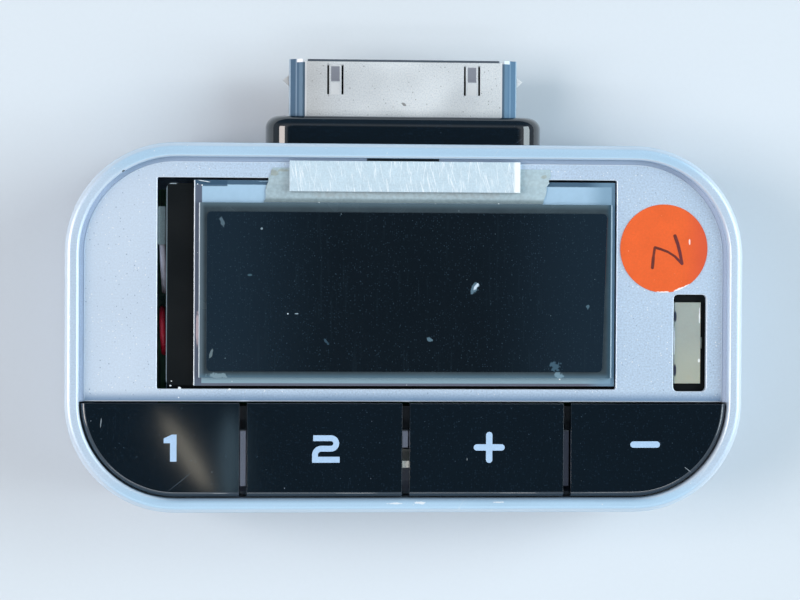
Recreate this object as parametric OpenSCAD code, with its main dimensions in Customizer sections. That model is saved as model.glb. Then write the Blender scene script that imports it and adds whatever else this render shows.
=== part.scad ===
// Car FM transmitter that plugs into the dock socket of a music player.
// It lies on its back: X runs along its width, Y towards the plug, and Z out of its front face.
// The origin is the middle of the flat back. All sizes are in millimetres.

/* [Case] */
// Width of the case
body_w = 61.8; // [60.5:0.1:66]
// Length of the case, without the plug
body_l = 33.5; // [33.1:0.1:38]
// Depth of the case from its back to the top of the rim
body_h = 13; // [12.6:0.1:16]
// Radius of the case's corners in plan
corner_r = 10; // [9:0.1:10.8]
// Width of the raised rim, and thickness of the side walls
wall = 1.3; // [1.1:0.05:1.5]
// Rounding of the rim's outer edge
rim_outer_r = 0.6; // [0.3:0.05:0.7]
// Rounding of the rim's inner edge
rim_inner_r = 0.3; // [0.1:0.05:0.35]
// Thickness of the back
back_t = 1.5; // [1.2:0.1:1.8]
// Rounding of the edge round the back
back_edge_r = 2.2; // [1.5:0.1:2.4]
// Height of the parting line below the main board's underside
split_drop = 0.1; // [0:0.1:0.4]
// Width of the shadow groove on the parting line
parting_groove = 0.3; // [0.1:0.05:0.4]

/* [Fascia] */
// Drop from the rim to the fascia
rim_rise = 1; // [0.8:0.05:1.1]
// Thickness of the fascia plate
fascia_t = 0.6; // [0.4:0.05:0.8]
// Gap between the fascia and the rim
fascia_gap = 0.37; // [0.2:0.01:0.5]
// Length of the key row with the rim below it
key_row_l = 10.03; // [9.8:0.01:10.1]
// Rounding of the fascia's upper edges
fascia_edge_r = 0.2; // [0.1:0.05:0.3]
// Thickness of the shelf under the fascia
shelf_t = 1.2; // [1:0.1:1.3]
// Distance of the window from the case's left side
window_left_gap = 8.34; // [8.2:0.02:9]
// Distance of the window from the case's right side
window_right_gap = 11.66; // [11.4:0.02:12]
// Distance of the window from the case's dock side
window_top_gap = 3.15; // [3.1:0.05:3.5]
// Distance of the window from the fascia's lower edge
window_low_gap = 1.32; // [1.2:0.02:1.6]
// Margin between the window and the opening in the shelf
shelf_margin = 0.3; // [0.2:0.05:0.4]
// Width of the indicator slot
slot_w = 3.05; // [2.9:0.05:3.2]
// Length of the indicator slot
slot_l = 8.9; // [8.4:0.1:9.2]
// Distance of the indicator slot's middle from the case's right side
slot_inset = 4.72; // [4.5:0.02:4.9]
// Distance of the indicator slot from the fascia's lower edge
slot_low_gap = 1; // [0.7:0.05:1.3]
// Place of the notch in the fascia's top edge, across the case
fascia_notch_x = -0.35; // [-1:0.05:1]
// Width of the notch in the fascia's top edge
fascia_notch_w = 6.6; // [5:0.1:8]
// Depth of the notch in the fascia's top edge
fascia_notch_d = 0.25; // [0.1:0.05:0.4]

/* [Keys] */
// Gap between two keys
key_gap = 0.7; // [0.6:0.05:0.9]
// Gap between the keys and what surrounds them
key_rim_gap = 0.13; // [0.1:0.01:0.2]
// Height of the key tops over the fascia
key_proud = 0.6; // [0.5:0.05:0.7]
// Thickness of a keycap
cap_t = 1.4; // [1.2:0.05:1.5]
// Chamfer on the keycaps' upper edges
cap_chamfer = 0.15; // [0.1:0.01:0.2]
// Rounding of the keycaps' edge along the rim
cap_edge_r = 0.45; // [0.2:0.05:0.6]
// Free travel of a key
key_travel = 0.35; // [0.2:0.05:0.35]
// Width of the rubber pad under a keycap
pad_w = 6; // [5:0.1:6.5]
// Length of the rubber pad under a keycap
pad_l = 3; // [2.5:0.1:3.5]
// Free height between the rubber mat and the keycaps
mat_gap = 1.3; // [1.2:0.05:1.4]
// Thickness of the rubber mat's web
mat_t = 0.6; // [0.5:0.05:0.7]
// Height of the feet under the rubber mat
mat_foot_h = 0.5; // [0.46:0.01:0.6]
// Thickness of the key circuit board
key_board_t = 0.8; // [0.6:0.1:1]
// Radius of a snap dome
dome_r = 2; // [1.5:0.1:2.3]
// Height of a snap dome
dome_h = 0.3; // [0.2:0.01:0.33]

/* [Legends] */
// Height of the figures on the keys
legend_h = 2.45; // [2:0.05:3]
// Width of the strokes of the figures
legend_stroke = 0.58; // [0.4:0.02:0.7]
// Thickness of the printed figures
legend_t = 0.04; // [0.02:0.01:0.08]

/* [Display] */
// Open gap left of the display frame
window_open = 0.75; // [0.5:0.05:1]
// Width of the black bar left of the glass
frame_bar_w = 2.5; // [2.2:0.1:2.8]
// Gap between the glass and the window on its right
glass_gap_right = 0.2; // [0.1:0.05:0.4]
// Gap between the glass and the window's lower edge
glass_gap_low = 0.12; // [0.08:0.01:0.3]
// Gap between the glass and the window's upper edge
glass_gap_high = 0.5; // [0.4:0.05:0.6]
// Thickness of each of the two glass plates
glass_t = 0.6; // [0.5:0.05:0.7]
// Height of the upper glass over the fascia
glass_proud = 0.4; // [0.2:0.05:0.5]
// Step between the plates at the two sides
glass_step_side = 0.45; // [0.3:0.05:0.6]
// Step between the plates at the lower edge
glass_step_low = 0.75; // [0.5:0.05:0.9]
// Contact ledge of the lower plate along its upper edge
glass_ledge = 1.75; // [1.6:0.05:2]
// Border of the upper glass round the front polariser at the sides and the top
film_border = 0.7; // [0.5:0.05:0.9]
// Border of the upper glass under the front polariser
film_border_low = 0.45; // [0.3:0.05:0.6]
// Thickness of a polariser film
film_t = 0.18; // [0.1:0.01:0.2]
// Thickness of the light guide
guide_t = 1.3; // [1.1:0.1:1.5]
// Thickness of the reflector under the light guide
reflector_t = 0.2; // [0.1:0.05:0.3]
// Thickness of the display frame's floor
frame_floor_t = 0.7; // [0.5:0.1:0.8]
// Thickness of the display frame's walls
frame_wall = 1; // [0.8:0.1:1.2]

/* [Boards] */
// Distance from the fascia's top down to the main board's underside
board_drop = 6.4; // [6.2:0.05:6.4]
// Thickness of the main board
board_t = 1; // [0.8:0.1:1.1]
// Distance of the main board from the case's left and right sides
board_side_gap = 8.3; // [8.2:0.05:8.9]
// Distance of the main board from the inside of the case's key side
board_low_gap = 2.25; // [2:0.05:3]

/* [Dock plug] */
// Width of the plug's steel shell
plug_w = 21.15; // [20.8:0.05:21.5]
// Depth of the plug's steel shell
plug_h = 2.6; // [2.5:0.05:2.8]
// Sheet thickness of the shell
plug_sheet = 0.25; // [0.2:0.01:0.3]
// Exposed length of the plug beyond the collar
plug_reach = 5.3; // [5:0.05:6]
// Length of the plug's shell inside the case
plug_root = 2.45; // [2.3:0.05:2.7]
// Width of the sloping band along each side of the plug
plug_bevel_w = 1.2; // [1:0.05:1.3]
// Depth of the sloping band along each side of the plug
plug_bevel_h = 0.8; // [0.6:0.05:0.85]
// Width of one contact
contact_w = 0.3; // [0.2:0.01:0.32]
// Width of the collar's rim left and right of the plug
collar_side = 2.2; // [1.8:0.05:2.4]
// Width of the collar's rim before and behind the plug
collar_face = 2; // [1.8:0.05:2.1]
// Height that the collar stands out of the case
collar_reach = 2.7; // [2:0.05:3]
// Radius of the collar's four corners
collar_r = 2.4; // [1.8:0.1:2.8]
// Rounding of the collar's outer edge
collar_edge_r = 1.1; // [0.6:0.1:1.3]
// Reach of a latch hook beyond the shell
hook_reach = 0.6; // [0.4:0.05:0.65]
// Distance of the hooks' tips below the plug's end
hook_drop = 1.9; // [1.8:0.05:2.3]

/* [Fasteners] */
// Radius of a case screw's thread
screw_r = 0.8; // [0.7:0.05:0.9]
// Radius of a case screw's head
screw_head_r = 1.6; // [1.4:0.05:1.7]
// Height of a case screw's head
screw_head_h = 1.1; // [0.9:0.05:1.2]
// Distance of the screws' ends from the height of the key board's underside
screw_end_gap = 0.4; // [0.3:0.05:1]
// Distance of the screws from the case's left and right sides
screw_inset_x = 5.3; // [5.1:0.05:5.5]
// Distance of the screws from the case's dock and key sides
screw_inset_y = 6.15; // [6.05:0.05:6.35]

/* [Hidden] */
$fn = 48;
// Overrun of every cut past the face that it opens
over = 0.5;
// Clearance of a part that slides into its seat
seat_fit = 0.05;
// Clearance of a part that turns in its socket
turn_fit = 0.05;
// Clearance of a thread in its hole
thread_fit = 0.02;
// Clearance of a screw in the cover that it clamps
screw_clear = 0.15;
// Signs of the four corners, anticlockwise from the upper right
CORNERS = [[1, 1], [-1, 1], [-1, -1], [1, -1]];

// Colours
silver = [0.72, 0.79, 0.86];
gloss_black = [0.05, 0.06, 0.07];
soft_black = [0.1, 0.11, 0.12];
steel = [0.82, 0.84, 0.86];
pale_blue = [0.72, 0.82, 0.92];
mat_grey = [0.62, 0.62, 0.7];
board_green = [0.08, 0.33, 0.2];
cream = [0.84, 0.83, 0.72];

// Levels above the back
fascia_top = body_h - rim_rise;
fascia_low = fascia_top - fascia_t;
shelf_low = fascia_low - shelf_t;
key_top = fascia_top + key_proud;
cap_low = key_top - cap_t;
mat_top = cap_low - mat_gap;
mat_low = mat_top - mat_t;
key_board_top = mat_low - mat_foot_h;
key_board_low = key_board_top - key_board_t;
board_z = fascia_top - board_drop;
board_top = board_z + board_t;
split_z = board_z - split_drop;
glass_top = fascia_top + glass_proud;
glass_mid = glass_top - glass_t;
glass_low = glass_mid - glass_t;
film_low = glass_low - film_t;
guide_low = film_low - guide_t;
reflector_low = guide_low - reflector_t;
frame_low = reflector_low - frame_floor_t;

// Case outline, inside the walls
inner_w = body_w - 2 * wall;
inner_l = body_l - 2 * wall;
inner_r = corner_r - wall;
fascia_drop = body_l / 2 - key_row_l;
board_w = body_w - 2 * board_side_gap;

// Screw posts and bosses
post_r = 2.3;
counterbore_gap = 0.2;
counterbore_r = screw_head_r + counterbore_gap;
screw_seat_z = 1.6;
screw_l = key_board_low - screw_end_gap - screw_seat_z;
screw_x = body_w / 2 - screw_inset_x;
screw_y = body_l / 2 - screw_inset_y;
pilot_spare = 0.2;
rib_w = 1.2;
rib_inset = 0.4;
boss_rib_turn = atan2(screw_y - (body_l / 2 - corner_r), screw_x - (body_w / 2 - corner_r));
boss_rib_l = inner_r + wall / 2
    - norm([screw_x - (body_w / 2 - corner_r), screw_y - (body_l / 2 - corner_r)]);
recess_w = 0.4;
recess_l = 1.8;
recess_d = 0.5;

// Board supports in the back cover
support_r = 1.5;
support_pin_r = 0.6;
support_pin_h = 0.9;
support_inset = 2.4;
support_x = board_w / 2 - support_inset;

// Ledge under the key board
ledge_w = 1;
ledge_h = 1;
ledge_end = 5;

// Key row: edges of the four caps
key_top_y = -fascia_drop - key_rim_gap;
key_low_y = -(inner_l / 2 - key_rim_gap);
key_mid_y = (key_top_y + key_low_y) / 2;
key_pitch = inner_w / 4;
// Edges of key i, the first on the left, where the end keys run to the rim
function key_left(i) = i == 0 ? -(inner_w / 2 - key_rim_gap) : (i - 2) * key_pitch + key_gap / 2;
function key_right(i) = i == 3 ? inner_w / 2 - key_rim_gap : (i - 1) * key_pitch - key_gap / 2;
function key_mid(i) = (key_left(i) + key_right(i)) / 2;
function gap_mid(i) = (i - 1) * key_pitch;

// Place of each figure from the middle of its key, across and along
legend_shift = [0.93, 0.12, 0.22, -0.32];
legend_lift = [0.2, 0.12, 0.26, 0.52];
// Flag of the figure one, in shares of the stroke: its top's inset, its tip and its lower edge
flag_top_share = 0.3;
flag_tip_share = 0.6;
flag_low_share = 1.35;

// Rubber mat and key board
board_inset = 0.3;
mat_inset = 0.4;
key_board_edge = 0.37;
skirt_w = 0.5;
skirt_t = 0.2;
nub_r = 0.8;
nub_gap = 0.1;
nub_l = mat_foot_h - dome_h - nub_gap;
dome_t = 0.08;
rib_gap = 0.1;
rib_drop = 0.9;
mat_rib_start = 2.45;
mat_rib_end = 0.9;
mat_foot_w = 1.2;
mat_foot_inset = 0.5;
mid_rib_l = 1.6;
key_led_size = [1.6, 1.4, 1.6];
key_led_gap = 0.25;

// Display
window_left = window_left_gap - body_w / 2;
window_right = body_w / 2 - window_right_gap;
window_bottom = window_low_gap - fascia_drop;
window_top = body_l / 2 - window_top_gap;
window_mid = [(window_left + window_right) / 2, (window_bottom + window_top) / 2];
window_size = [window_right - window_left, window_top - window_bottom];
window_r = 0.15;
frame_left = window_left + window_open;
glass_left = frame_left + frame_bar_w;
glass_right = window_right - glass_gap_right;
glass_bottom = window_bottom + glass_gap_low;
glass_top_y = window_top - glass_gap_high;
upper_left = glass_left + glass_step_side;
upper_right = glass_right - glass_step_side;
upper_bottom = glass_bottom + glass_step_low;
upper_top = glass_top_y - glass_ledge;
film_r = 1.1;
frame_corner_r = 0.5;
pocket_left = glass_left + frame_wall / 2;
backlight_size = [1.9, 3, 0.9];
backlight_wall = 0.25;
leg_r = 0.9;
leg_inset = 1.3;
flex_t = 0.1;
flex_w = 17;
flex_gap = 0.1;
flex_ledge_l = 1.2;
flex_foot_y = 9.5;
flex_socket_l = 1.4;
flex_socket_h = 1.5;

// Indicator
slot_x = body_w / 2 - slot_inset;
slot_y = slot_low_gap + slot_l / 2 - fascia_drop;
slot_r = 0.4;
pipe_w = 2.43;
pipe_l = 7.45;
pipe_shift = -0.18;
pipe_drop = 0.3;
pipe_lug_w = 0.25;
pipe_lug_l = 1;
pipe_lug_drop = 0.9;
holder_wall = 0.2;
holder_drop = 0.3;
status_led_size = [1.2, 2, 0.8];
status_led_gap = 0.2;

// Tape, strip and marking dot on the fascia
// Insets are taken from the window's left and right edges
tape_inset = [9.6, 6.64];
strip_inset = [11.86, 8.9];
tape_t = 0.08;
tape_gap = 0.05;
tape_l = 3.15;
tape_left = window_left + tape_inset[0];
tape_right = window_right - tape_inset[1];
tape_lean = 0.65;
strip_t = 0.42;
strip_left = window_left + strip_inset[0];
strip_right = window_right - strip_inset[1];
strip_l = 2.8;
strip_top_gap = 0.05;
dot_r = 4.05;
dot_inset = [7.2, 9.35];
dot_x = body_w / 2 - dot_inset[0];
dot_y = body_l / 2 - dot_inset[1];
dot_t = 0.08;
ink_t = 0.02;
ink_w = 0.32;
// Corners of the handwritten stroke on the dot, as shares of the dot's radius
ink_shares = [[-0.3, -0.32], [-0.26, 0.22], [0.38, -0.2], [0.21, 0.27]];

// Plug and collar
plug_sink = 0.1;
plug_z = board_top - plug_sink;
collar_w = plug_w + 2 * collar_side;
collar_h = plug_h + 2 * collar_face;
collar_end = body_l / 2 + collar_reach;
plug_tip = collar_end + plug_reach;
shell_start = inner_l / 2 - plug_root;
insulator_root = 0.4;
insulator_start = shell_start - insulator_root;
block_l = 1.9;
block_end = insulator_start + block_l;
tongue_inset = 2.575;
tongue_half = plug_w / 2 - tongue_inset;
tongue_drop = 0.5;
contact_t = 0.15;
contact_count = 30;
contact_pitch = 2 * tongue_half / (contact_count + 2);
tail_l = 1.2;
tail_end_gap = 0.3;
band_lift = 0.2;
collar_fit = 0.1;
flange_lip = 0.35;
flange_l = 0.65;
flange_gap = 0.05;
finger_inset = 4.225;
finger_x = plug_w / 2 - finger_inset;
finger_w = 1.14;
finger_slit = 0.19;
finger_top = 0.5;
finger_l = 2.76;
finger_bend = 0.12;
latch_inset = 1.275;
latch_x = plug_w / 2 - latch_inset;
latch_root = 0.95;
latch_y = insulator_start + latch_root;
latch_root_r = 0.6;
latch_w = 0.6;
latch_t = 0.6;
latch_end = 1.3;
latch_play = 0.05;
hook_l = 1.2;
hook_lead = 0.45;
hook_window_gap = 0.3;
latch_mouth = 0.15;

// Main board and what it carries
board_low_y = board_low_gap - inner_l / 2;
board_l = insulator_start - board_low_y;
tab_gap = 1;
tab_margin = 0.45;
shield_size = [14, 12, 1.8];
shield_t = 0.2;
shield_at = [-8, 0];
transmitter_size = [4, 4, 0.9];
controller_size = [7, 7, 1];
controller_at = [-6, 1];
crystal_size = [5, 3.2, 1.3];
crystal_at = [4.5, 3];
inductor_size = [3, 3, 1.7];
inductor_step = 4.5;
inductor_at = [8, -4];
passive_size = [1, 0.5, 0.5];
passive_step = [2.2, 1.6];
passive_at = [5, -3];
header_w = 8;
header_l = 2;
header_y = -9.6;
wire_r = 0.35;
white_wire_r = 0.3;
// Routes of the two wires at the board's left edge, points chosen by hand. They start from the middle
// of the open gap and from the board's top.
antenna_route = [[0.18, -2.5, 0.4], [0.08, -3.3, 1.3], [-0.02, -4.5, 1.7], [-0.02, -5.7, 1.5],
    [0.18, -6.5, 0.4]];
supply_route = [[0.18, 5.5, 0.35], [0.03, 4.5, 1.4], [-0.07, 2.5, 2], [-0.02, 0.3, 1.8],
    [0.18, -0.9, 0.35]];
wire_sides = 12;

// Sweeps a flat profile round a rectangle with rounded corners. The profile's x runs outwards from
// the centre of a corner, and its y is height.
module swept_round(w, l, r) {
    runs = [l - 2 * r, w - 2 * r];
    for (i = [0:3])
        translate([CORNERS[i][0] * (w / 2 - r), CORNERS[i][1] * (l / 2 - r), 0]) rotate([0, 0, 90 * i]) {
            rotate_extrude(angle = 90) children();
            rotate([90, 0, 0]) linear_extrude(runs[i % 2]) children();
        }
}

// Flat profile as wide as a corner's radius, with its outer edges rounded below and above
module edge_profile(r, h, low_r, high_r) {
    difference() {
        square([r, h]);
        if (low_r > 0) translate([r - low_r, -over]) square([low_r + over, low_r + over]);
        if (high_r > 0) translate([r - high_r, h - high_r]) square([high_r + over, high_r + over]);
    }
    intersection() {
        square([r, h]);
        union() {
            if (low_r > 0) translate([r - low_r, low_r]) circle(low_r);
            if (high_r > 0) translate([r - high_r, h - high_r]) circle(high_r);
        }
    }
}

// Solid slab with rounded corners and rounded lower and upper edges, standing on its floor
module rounded_slab(w, l, r, h, low_r, high_r) {
    swept_round(w, l, r) edge_profile(r, h, low_r, high_r);
    translate([-(w / 2 - r), -(l / 2 - r), 0]) cube([w - 2 * r, l - 2 * r, h]);
}

// Flat rectangle with rounded corners, centred
module round_rect(w, l, r) {
    square([w - 2 * r, l], center = true);
    square([w, l - 2 * r], center = true);
    for (s = CORNERS) translate([s[0] * (w / 2 - r), s[1] * (l / 2 - r)]) circle(r);
}

// Box between two corners given as lowest and highest places
module span(low, high) {
    translate(low) cube(high - low);
}

// Box centred in plan that stands on the given height
module chip(at, z, size) {
    translate([at[0] - size[0] / 2, at[1] - size[1] / 2, z]) cube(size);
}

// Straight stroke with round ends between two flat points
module stroke(p, q, w) {
    translate(p) rotate(atan2(q[1] - p[1], q[0] - p[0])) translate([0, -w / 2]) square([norm(q - p), w]);
    translate(p) circle(w / 2);
    translate(q) circle(w / 2);
}

// Places its children at the four screws
module at_screws() {
    for (s = CORNERS) translate([s[0] * screw_x, s[1] * screw_y, 0]) children();
}

// Round post at a screw, tied to the corner of the case by a rib
module screw_post(s, z, h) {
    translate([s[0] * screw_x, s[1] * screw_y, z]) {
        cylinder(r = post_r, h = h);
        mirror([s[0] < 0 ? 1 : 0, 0, 0]) mirror([0, s[1] < 0 ? 1 : 0, 0])
            rotate([0, 0, boss_rib_turn]) translate([0, -rib_w / 2, rib_inset])
                cube([boss_rib_l, rib_w, h - 2 * rib_inset]);
    }
}

// Opening for the collar through the dock side of the case
module collar_opening() {
    translate([0, body_l / 2 + over, plug_z]) rotate([90, 0, 0]) linear_extrude(wall + 2 * over)
        round_rect(collar_w + 2 * collar_fit, collar_h + 2 * collar_fit, collar_r + collar_fit);
}

// Inside of the case as a flat outline, drawn in by a margin
module inner_outline(margin) {
    round_rect(inner_w - 2 * margin, inner_l - 2 * margin, inner_r - margin);
}

// Silver front shell: rim and walls in one sweep, shelf, bosses and the key board's ledge
module front_bezel() {
    color(silver) difference() {
        union() {
            translate([0, 0, split_z]) swept_round(body_w, body_l, corner_r) intersection() {
                edge_profile(corner_r, body_h - split_z, 0, rim_outer_r);
                translate([corner_r, 0]) mirror([1, 0]) edge_profile(wall, body_h - split_z, 0, rim_inner_r);
            }
            translate([0, 0, shelf_low]) linear_extrude(shelf_t) intersection() {
                inner_outline(-wall / 2);
                translate([-body_w / 2, -fascia_drop]) square([body_w, body_l]);
            }
            for (s = CORNERS)
                screw_post(s, split_z, (s[1] > 0 ? shelf_low : key_board_low) - split_z);
            span([-(inner_w / 2 - inner_r - ledge_end), -(inner_l / 2 + wall / 2), key_board_low - ledge_h],
                [inner_w / 2 - inner_r - ledge_end, -(inner_l / 2 - ledge_w), key_board_low]);
        }
        translate([0, 0, shelf_low - over]) linear_extrude(shelf_t + 2 * over)
            translate(window_mid)
                square(window_size + 2 * [shelf_margin, shelf_margin], center = true);
        translate([slot_x, slot_y, shelf_low - over]) linear_extrude(shelf_t + 2 * over)
            round_rect(holder_w() + 2 * seat_fit, holder_l() + 2 * seat_fit, slot_r);
        collar_opening();
        at_screws() translate([0, 0, split_z - over])
            cylinder(r = screw_r + thread_fit, h = screw_seat_z + screw_l + pilot_spare - split_z + over);
    }
}

// Silver plate set into the rim, with the window and the indicator slot
module fascia_plate() {
    fascia_w = inner_w - 2 * fascia_gap;
    fascia_l = inner_l - 2 * fascia_gap;
    color(silver) translate([0, 0, fascia_low]) difference() {
        rounded_slab(fascia_w, fascia_l, inner_r - fascia_gap, fascia_t, 0, fascia_edge_r);
        span([-body_w / 2, -body_l / 2, -over], [body_w / 2, -fascia_drop, fascia_t + over]);
        translate([window_mid[0], window_mid[1], -over]) linear_extrude(fascia_t + 2 * over)
            round_rect(window_size[0], window_size[1], window_r);
        translate([slot_x, slot_y, -over]) linear_extrude(fascia_t + 2 * over)
            round_rect(slot_w, slot_l, slot_r);
        span([fascia_notch_x - fascia_notch_w / 2, fascia_l / 2 - fascia_notch_d, -over],
            [fascia_notch_x + fascia_notch_w / 2, body_l / 2, fascia_t + over]);
    }
}

// Silver back shell with a flat back, screw posts and board supports
module rear_cover() {
    color(silver) difference() {
        union() {
            difference() {
                rounded_slab(body_w, body_l, corner_r, split_z - parting_groove, back_edge_r, 0);
                translate([0, 0, back_t])
                    rounded_slab(inner_w, inner_l, inner_r, split_z, back_edge_r - wall, 0);
            }
            translate([0, 0, split_z - parting_groove - wall]) swept_round(body_w, body_l, corner_r)
                translate([inner_r, 0]) square([wall - parting_groove, wall + parting_groove]);
            for (s = CORNERS) screw_post(s, back_t / 2, split_z - back_t / 2);
            for (s = CORNERS) translate([s[0] * support_x, support_place(s), 0]) {
                translate([0, 0, back_t / 2]) cylinder(r = support_r, h = board_z - back_t / 2);
                cylinder(r = support_pin_r, h = board_z + support_pin_h);
            }
        }
        at_screws() {
            translate([0, 0, -over]) cylinder(r = counterbore_r, h = screw_seat_z + over);
            cylinder(r = screw_r + screw_clear, h = split_z + over);
        }
        collar_opening();
    }
}

// Gloss black collar round the plug, with a flange behind the wall
module dock_collar() {
    start = inner_l / 2 - flange_gap - flange_l;
    color(gloss_black) translate([0, 0, plug_z]) difference() {
        union() {
            translate([0, start, 0]) rotate([-90, 0, 0])
                rounded_slab(collar_w, collar_h, collar_r, collar_end - start, 0, collar_edge_r);
            translate([0, start + flange_l, 0]) rotate([90, 0, 0]) linear_extrude(flange_l)
                round_rect(collar_w + 2 * flange_lip, collar_h + 2 * flange_lip, collar_r + flange_lip);
        }
        translate([0, collar_end + over, 0]) rotate([90, 0, 0])
            linear_extrude(collar_end - start + 2 * over) plug_outline(-seat_fit);
    }
}

// Field of all four keys: follows the rim, with the edge along the rim rounded
module key_field() {
    translate([0, 0, cap_low])
        rounded_slab(inner_w - 2 * key_rim_gap, inner_l - 2 * key_rim_gap, inner_r - key_rim_gap,
            cap_t, 0, cap_edge_r);
}

// Bar whose two upper long edges are chamfered, from y = 0 on
module chamfered_bar(left, right, low, high, run) {
    rotate([90, 0, 0]) translate([0, 0, -run]) linear_extrude(run)
        polygon([[left, low], [right, low], [right, high - cap_chamfer], [right - cap_chamfer, high],
            [left + cap_chamfer, high], [left, high - cap_chamfer]]);
}

// Gloss black keycap number i
module keycap(i) {
    color(gloss_black) intersection() {
        key_field();
        translate([0, -body_l / 2, 0])
            chamfered_bar(key_left(i) - (i == 0 ? over : 0), key_right(i) + (i == 3 ? over : 0),
                cap_low, key_top, body_l);
        translate([-body_w / 2, 0, 0]) rotate([0, 0, 90]) mirror([0, 1, 0])
            chamfered_bar(key_low_y - over, key_top_y, cap_low, key_top, body_w);
    }
}

// Lays a printed figure on the top of key i
module legend(i) {
    color(pale_blue) translate([key_mid(i) + legend_shift[i], key_mid_y + legend_lift[i], key_top])
        linear_extrude(legend_t) children();
}

module legend_one() {
    flag = 2 * legend_stroke;
    legend(0) translate([-flag / 2, -legend_h / 2]) polygon([
        [flag - legend_stroke, 0], [flag, 0], [flag, legend_h],
        [flag - legend_stroke * (1 - flag_top_share), legend_h],
        [0, legend_h - legend_stroke * flag_tip_share], [0, legend_h - legend_stroke * flag_low_share],
        [flag - legend_stroke, legend_h - legend_stroke * flag_low_share]]);
}

// Square-cut figure two: five bars with rounded joints
module legend_two() {
    reach = (legend_h - legend_stroke) / 2;
    legend(1) {
        stroke([reach, reach], [reach, 0], legend_stroke);
        stroke([reach, 0], [-reach, 0], legend_stroke);
        stroke([-reach, 0], [-reach, -reach], legend_stroke);
        translate([-reach - legend_stroke / 2, reach - legend_stroke / 2])
            square([2 * reach + legend_stroke / 2, legend_stroke]);
        translate([-reach - legend_stroke / 2, -reach - legend_stroke / 2])
            square([2 * reach + legend_stroke, legend_stroke]);
    }
}

module legend_plus() {
    reach = (legend_h - legend_stroke) / 2 + legend_stroke / 3;
    legend(2) {
        stroke([-reach, 0], [reach, 0], legend_stroke);
        stroke([0, -reach], [0, reach], legend_stroke);
    }
}

module legend_minus() {
    reach = (legend_h - legend_stroke) / 2 + legend_stroke / 4;
    legend(3) stroke([-reach, 0], [reach, 0], legend_stroke);
}

// Rubber pad that carries keycap i and presses its snap dome
module key_pad(i) {
    color(mat_grey) translate([key_mid(i), key_mid_y, 0]) {
        translate([-pad_w / 2, -pad_l / 2, mat_low]) cube([pad_w, pad_l, cap_low - mat_low]);
        translate([0, 0, mat_low - nub_l]) cylinder(r = nub_r, h = nub_l + mat_t / 2);
    }
}

// Thin rubber skirt that joins pad i to the mat and flexes when the key is pressed
module key_skirt(i) {
    color(mat_grey) translate([key_mid(i), key_mid_y, mat_low]) linear_extrude(skirt_t) difference() {
        square([pad_w + 2 * skirt_w, pad_l + 2 * skirt_w], center = true);
        square([pad_w, pad_l], center = true);
    }
}

// Cap of a sphere, by its base radius and its height
module dome_cap(r, h) {
    ball_r = (r * r + h * h) / (2 * h);
    intersection() {
        translate([0, 0, h - ball_r]) sphere(ball_r);
        cylinder(r = r, h = h + over);
    }
}

// Steel snap dome under key i
module snap_dome(i) {
    color(steel) translate([key_mid(i), key_mid_y, key_board_top]) difference() {
        dome_cap(dome_r, dome_h);
        dome_cap(dome_r - dome_t, dome_h - dome_t);
    }
}

// Outline of what lies under the keys, drawn in from the case
module key_bay(margin, top_margin) {
    intersection() {
        inner_outline(margin);
        translate([-body_w / 2, -body_l]) square([body_w, body_l + key_top_y - top_margin]);
    }
}

// Lilac grey rubber mat: web, feet under the key gaps, and ribs that stand between the keys
module key_mat() {
    rib_top = key_top - rib_drop;
    rib_high_y = key_top_y - mat_rib_start;
    rib_low_y = key_low_y + mat_rib_end;
    rib_half = key_gap / 2 - rib_gap;
    foot_x = inner_w / 2 - inner_r;
    color(mat_grey) difference() {
        union() {
            translate([0, 0, mat_low]) linear_extrude(mat_t) key_bay(mat_inset, key_board_edge);
            for (i = [0:2])
                span([gap_mid(i) - rib_half, i == 1 ? rib_high_y - mid_rib_l : rib_low_y, mat_low],
                    [gap_mid(i) + rib_half, rib_high_y, rib_top]);
            for (x = [gap_mid(0), gap_mid(2)])
                span([x - mat_foot_w / 2, rib_low_y, key_board_top],
                    [x + mat_foot_w / 2, rib_high_y, mat_top]);
            for (s = [-1, 1])
                span([s * foot_x - mat_foot_w / 2, key_low_y + mat_foot_inset, key_board_top],
                    [s * foot_x + mat_foot_w / 2, key_mid_y - pad_l, mat_top]);
        }
        for (i = [0:3]) translate([key_mid(i), key_mid_y, mat_low - over]) linear_extrude(mat_t + 2 * over)
            square([pad_w + 2 * skirt_w, pad_l + 2 * skirt_w], center = true);
        chip([gap_mid(1), key_led_y()], mat_low - over,
            [key_led_size[0] + 2 * key_led_gap, key_led_size[1] + 2 * key_led_gap, mat_t + 2 * over]);
    }
}

// Place of the key light, just under the middle rib
function key_led_y() = key_top_y - mat_rib_start - mid_rib_l - key_led_gap - key_led_size[1] / 2;

// Green board under the keys
module key_board() {
    color(board_green) translate([0, 0, key_board_low]) linear_extrude(key_board_t)
        key_bay(board_inset, key_board_edge);
}

// Socket that joins the key board to the main board
module board_header() {
    color(soft_black)
        chip([0, header_y], board_top, [header_w, header_l, key_board_low - board_top]);
}

// White light between the middle keys
module key_led() {
    color("white") chip([gap_mid(1), key_led_y()], key_board_top, key_led_size);
}

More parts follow.
